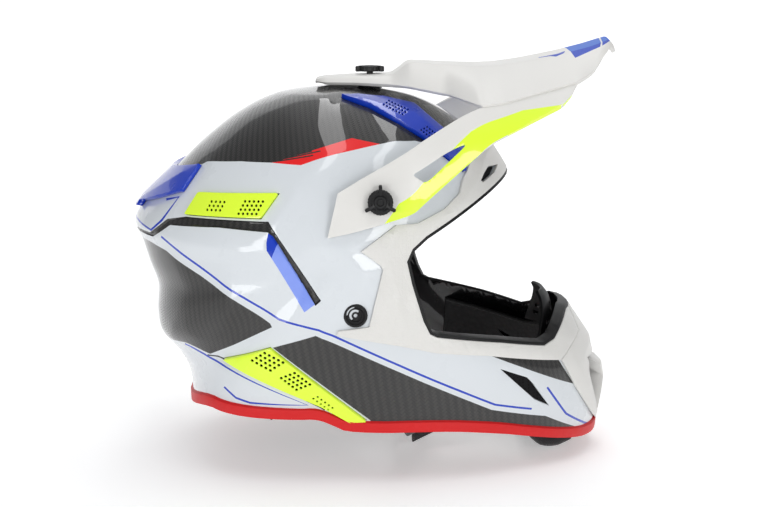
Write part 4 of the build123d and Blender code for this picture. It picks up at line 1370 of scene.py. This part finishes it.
def ribbon_section(width, thickness):
    """Webbing seen end on: rolled selvedges and a slightly thinner middle."""
    half, edge = width / 2, thickness / 2
    top = [(half - 0.2, edge * 0.6), (half - 0.9, edge), (half - 2.2, edge), (half - 3, edge * 0.82),
           (0, edge * 0.82), (-half + 3, edge * 0.82), (-half + 2.2, edge), (-half + 0.9, edge),
           (-half + 0.2, edge * 0.6)]
    return top + [(a, -b) for a, b in reversed(top)]


def path_frames(path):
    """Unit normals of a flat path."""
    normals = []
    for k in range(len(path)):
        along = path[min(k + 1, len(path) - 1)] - path[max(k - 1, 0)]
        normals.append(Vector((-along.y, along.x)).normalized())
    return normals


def webbing(name, points, radii, width, material, body, side_view=None):
    path = []
    corners = filleted(points, radii)
    for a, b in zip(corners, corners[1:]):
        count = max(1, math.ceil((b - a).length / 3))
        path += [a + (b - a) * k / count for k in range(count)]
    path.append(corners[-1])
    normals = path_frames(path)

    def place(k, a, b):
        spot = path[k] + normals[k] * b
        if side_view is None:
            return strap_place(spot.x, spot.y, a)
        return strap_place(side_view + a, spot.y, spot.x)

    return swept(name, path, ribbon_section(width, 1.5), place, [material], body), path, normals


BOX_FACES = [(0, 1, 5, 4), (1, 2, 6, 5), (2, 3, 7, 6), (3, 0, 4, 7), (4, 5, 6, 7), (3, 2, 1, 0)]


def stitch_rows(name, path, normals, spans, rows, body):
    """Bar-tack and row stitches: short thread loops standing on the webbing."""
    mesh = bmesh.new()
    for first, last in spans:
        for k in range(first, last):
            for row in rows:
                for face in (-1, 1):
                    middle = path[k] + normals[k] * face * 0.72
                    along = (path[k + 1] - path[k]).normalized()
                    corners = []
                    for u, v, h in ((-1, -1, 0), (1, -1, 0), (1, 1, 0), (-1, 1, 0),
                                    (-0.7, -0.5, 1), (0.7, -0.5, 1), (0.7, 0.5, 1), (-0.7, 0.5, 1)):
                        spot = middle + along * u * 0.9 + normals[k] * face * h * 0.25
                        corners.append(mesh.verts.new(strap_place(spot.x, spot.y, row + v * 0.3)))
                    for ring in BOX_FACES:
                        mesh.faces.new([corners[j] for j in ring])
    to_object(name, mesh, [THREAD], body)


def make_strap():
    leg, middle, drop = 113.5, -30.0, 108.0
    loop_side = 9.85
    top, bottom = -drop + 4.15, -drop - 4.55
    for side, tail, name in ((-1, 26, "right"), (1, 58, "left")):
        turn = middle + side * loop_side
        points = [(side * leg, -11.4), (side * leg, -drop * 0.72), (side * leg * 0.72, top),
                  (turn, top), (turn, bottom), (turn + side * tail, bottom)]
        strap, path, normals = webbing(f"strap_webbing_{name}", points, (14, 14, 1.2, 1.2), 22,
                                       WEBBING, "chin_strap")
        declare(strap, "black_webbing", f"chin_strap_{name}")
        last = len(path) - 2
        stitch_rows(f"strap_stitches_{name}", path, normals, [(1, 8), (last - 5, last)],
                    (-7.5, 7.5), "chin_strap")
    tab_bar = 16.0 - 3.0
    inside = tab_bar - 0.4 - 0.75
    tab_points = [(tab_bar + 22, bottom + 2), (tab_bar + 7, top), (inside, top), (inside, bottom),
                  (tab_bar + 24, bottom - 0.4)]
    tab, _, _ = webbing("release_ribbon", tab_points, (1.0, 1.2, 1.2), 12, WEBBING_RED, "chin_strap",
                        side_view=middle)
    declare(tab, "red_webbing", "release_tab")
    make_rings(middle, drop)


def make_rings(middle, drop):
    """Two D rings of round wire, one lying on the other."""
    half_width, half_length = 12.5, 14.5
    outline = rounded([(half_width, half_length), (-half_width, half_length),
                       (-half_width, -half_length), (half_width, -half_length)], 4.5, 6)
    wire = [(1.5 * math.cos(k * math.pi / 6), 1.5 * math.sin(k * math.pi / 6)) for k in range(12)]
    for number, level in enumerate((-drop + 1.5, -drop - 1.9)):
        count = len(outline)

        def place(k, a, b, level=level):
            here = Vector(outline[k])
            along = (Vector(outline[(k + 1) % count]) - Vector(outline[k - 1])).normalized()
            spot = here + Vector((along.y, -along.x)) * a
            return strap_place(middle + spot.x, level + b, spot.y)

        ring = swept(f"d_ring_{number + 1}", outline, wire, place, [STEEL], "chin_strap", True, 60)
        declare(ring, "steel", "buckle_rings")


# ---------------------------------------------------------------- CAD nodes that stay
def keep_nodes():
    finishes = {
        "crown_foam": FOAM, "chin_foam": FOAM, "peak_inserts": BRASS, "peak_spacers": RUBBER_BLACK,
        "strap_snap": PLASTIC_BLACK, "strap_plate_right": STEEL, "strap_plate_left": STEEL,
    }
    for name, material in finishes.items():
        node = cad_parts[name]
        node.data.materials.clear()
        node.data.materials.append(material)


def make_floor():
    """Pale sweep: flat under the helmet, curving up a metre and a half behind it."""
    material = moulded("floor", (0.93, 0.93, 0.93), 0.75, 0.9, grain=40, depth=0.02, spread=0.01)
    shader_of(material).inputs["Emission Color"].default_value = (1, 1, 1, 1)
    shader_of(material).inputs["Emission Strength"].default_value = 0.36
    section = [(-6.0, 0.0), (-3.0, 0.0), (-1.0, 0.0), (0.0, 0.0), (1.0, 0.0), (2.0, 0.0)]
    section += [(2.0 + 1.5 * math.sin(k * math.pi / 24), 1.5 - 1.5 * math.cos(k * math.pi / 24))
                for k in range(1, 13)]
    section.append((3.5, 4.0))
    mesh = bmesh.new()
    rows = [[mesh.verts.new((x * (1 if y < 1.5 else 0.6), y, z)) for x in (-6, -3, 0, 3, 6)]
            for y, z in section]
    for low, high in zip(rows, rows[1:]):
        for k in range(4):
            mesh.faces.new((low[k], low[k + 1], high[k + 1], high[k]))
    data = bpy.data.meshes.new("floor")
    mesh.to_mesh(data)
    mesh.free()
    data.materials.append(material)
    data.polygons.foreach_set("use_smooth", [True] * len(data.polygons))
    floor = bpy.data.objects.new("floor", data)
    bpy.context.collection.objects.link(floor)


make_camera()
make_studio()
make_shell()
make_covers()
make_vents()
make_screws()
make_peak()
make_guard()
make_pads()
make_strap()
keep_nodes()
make_floor()
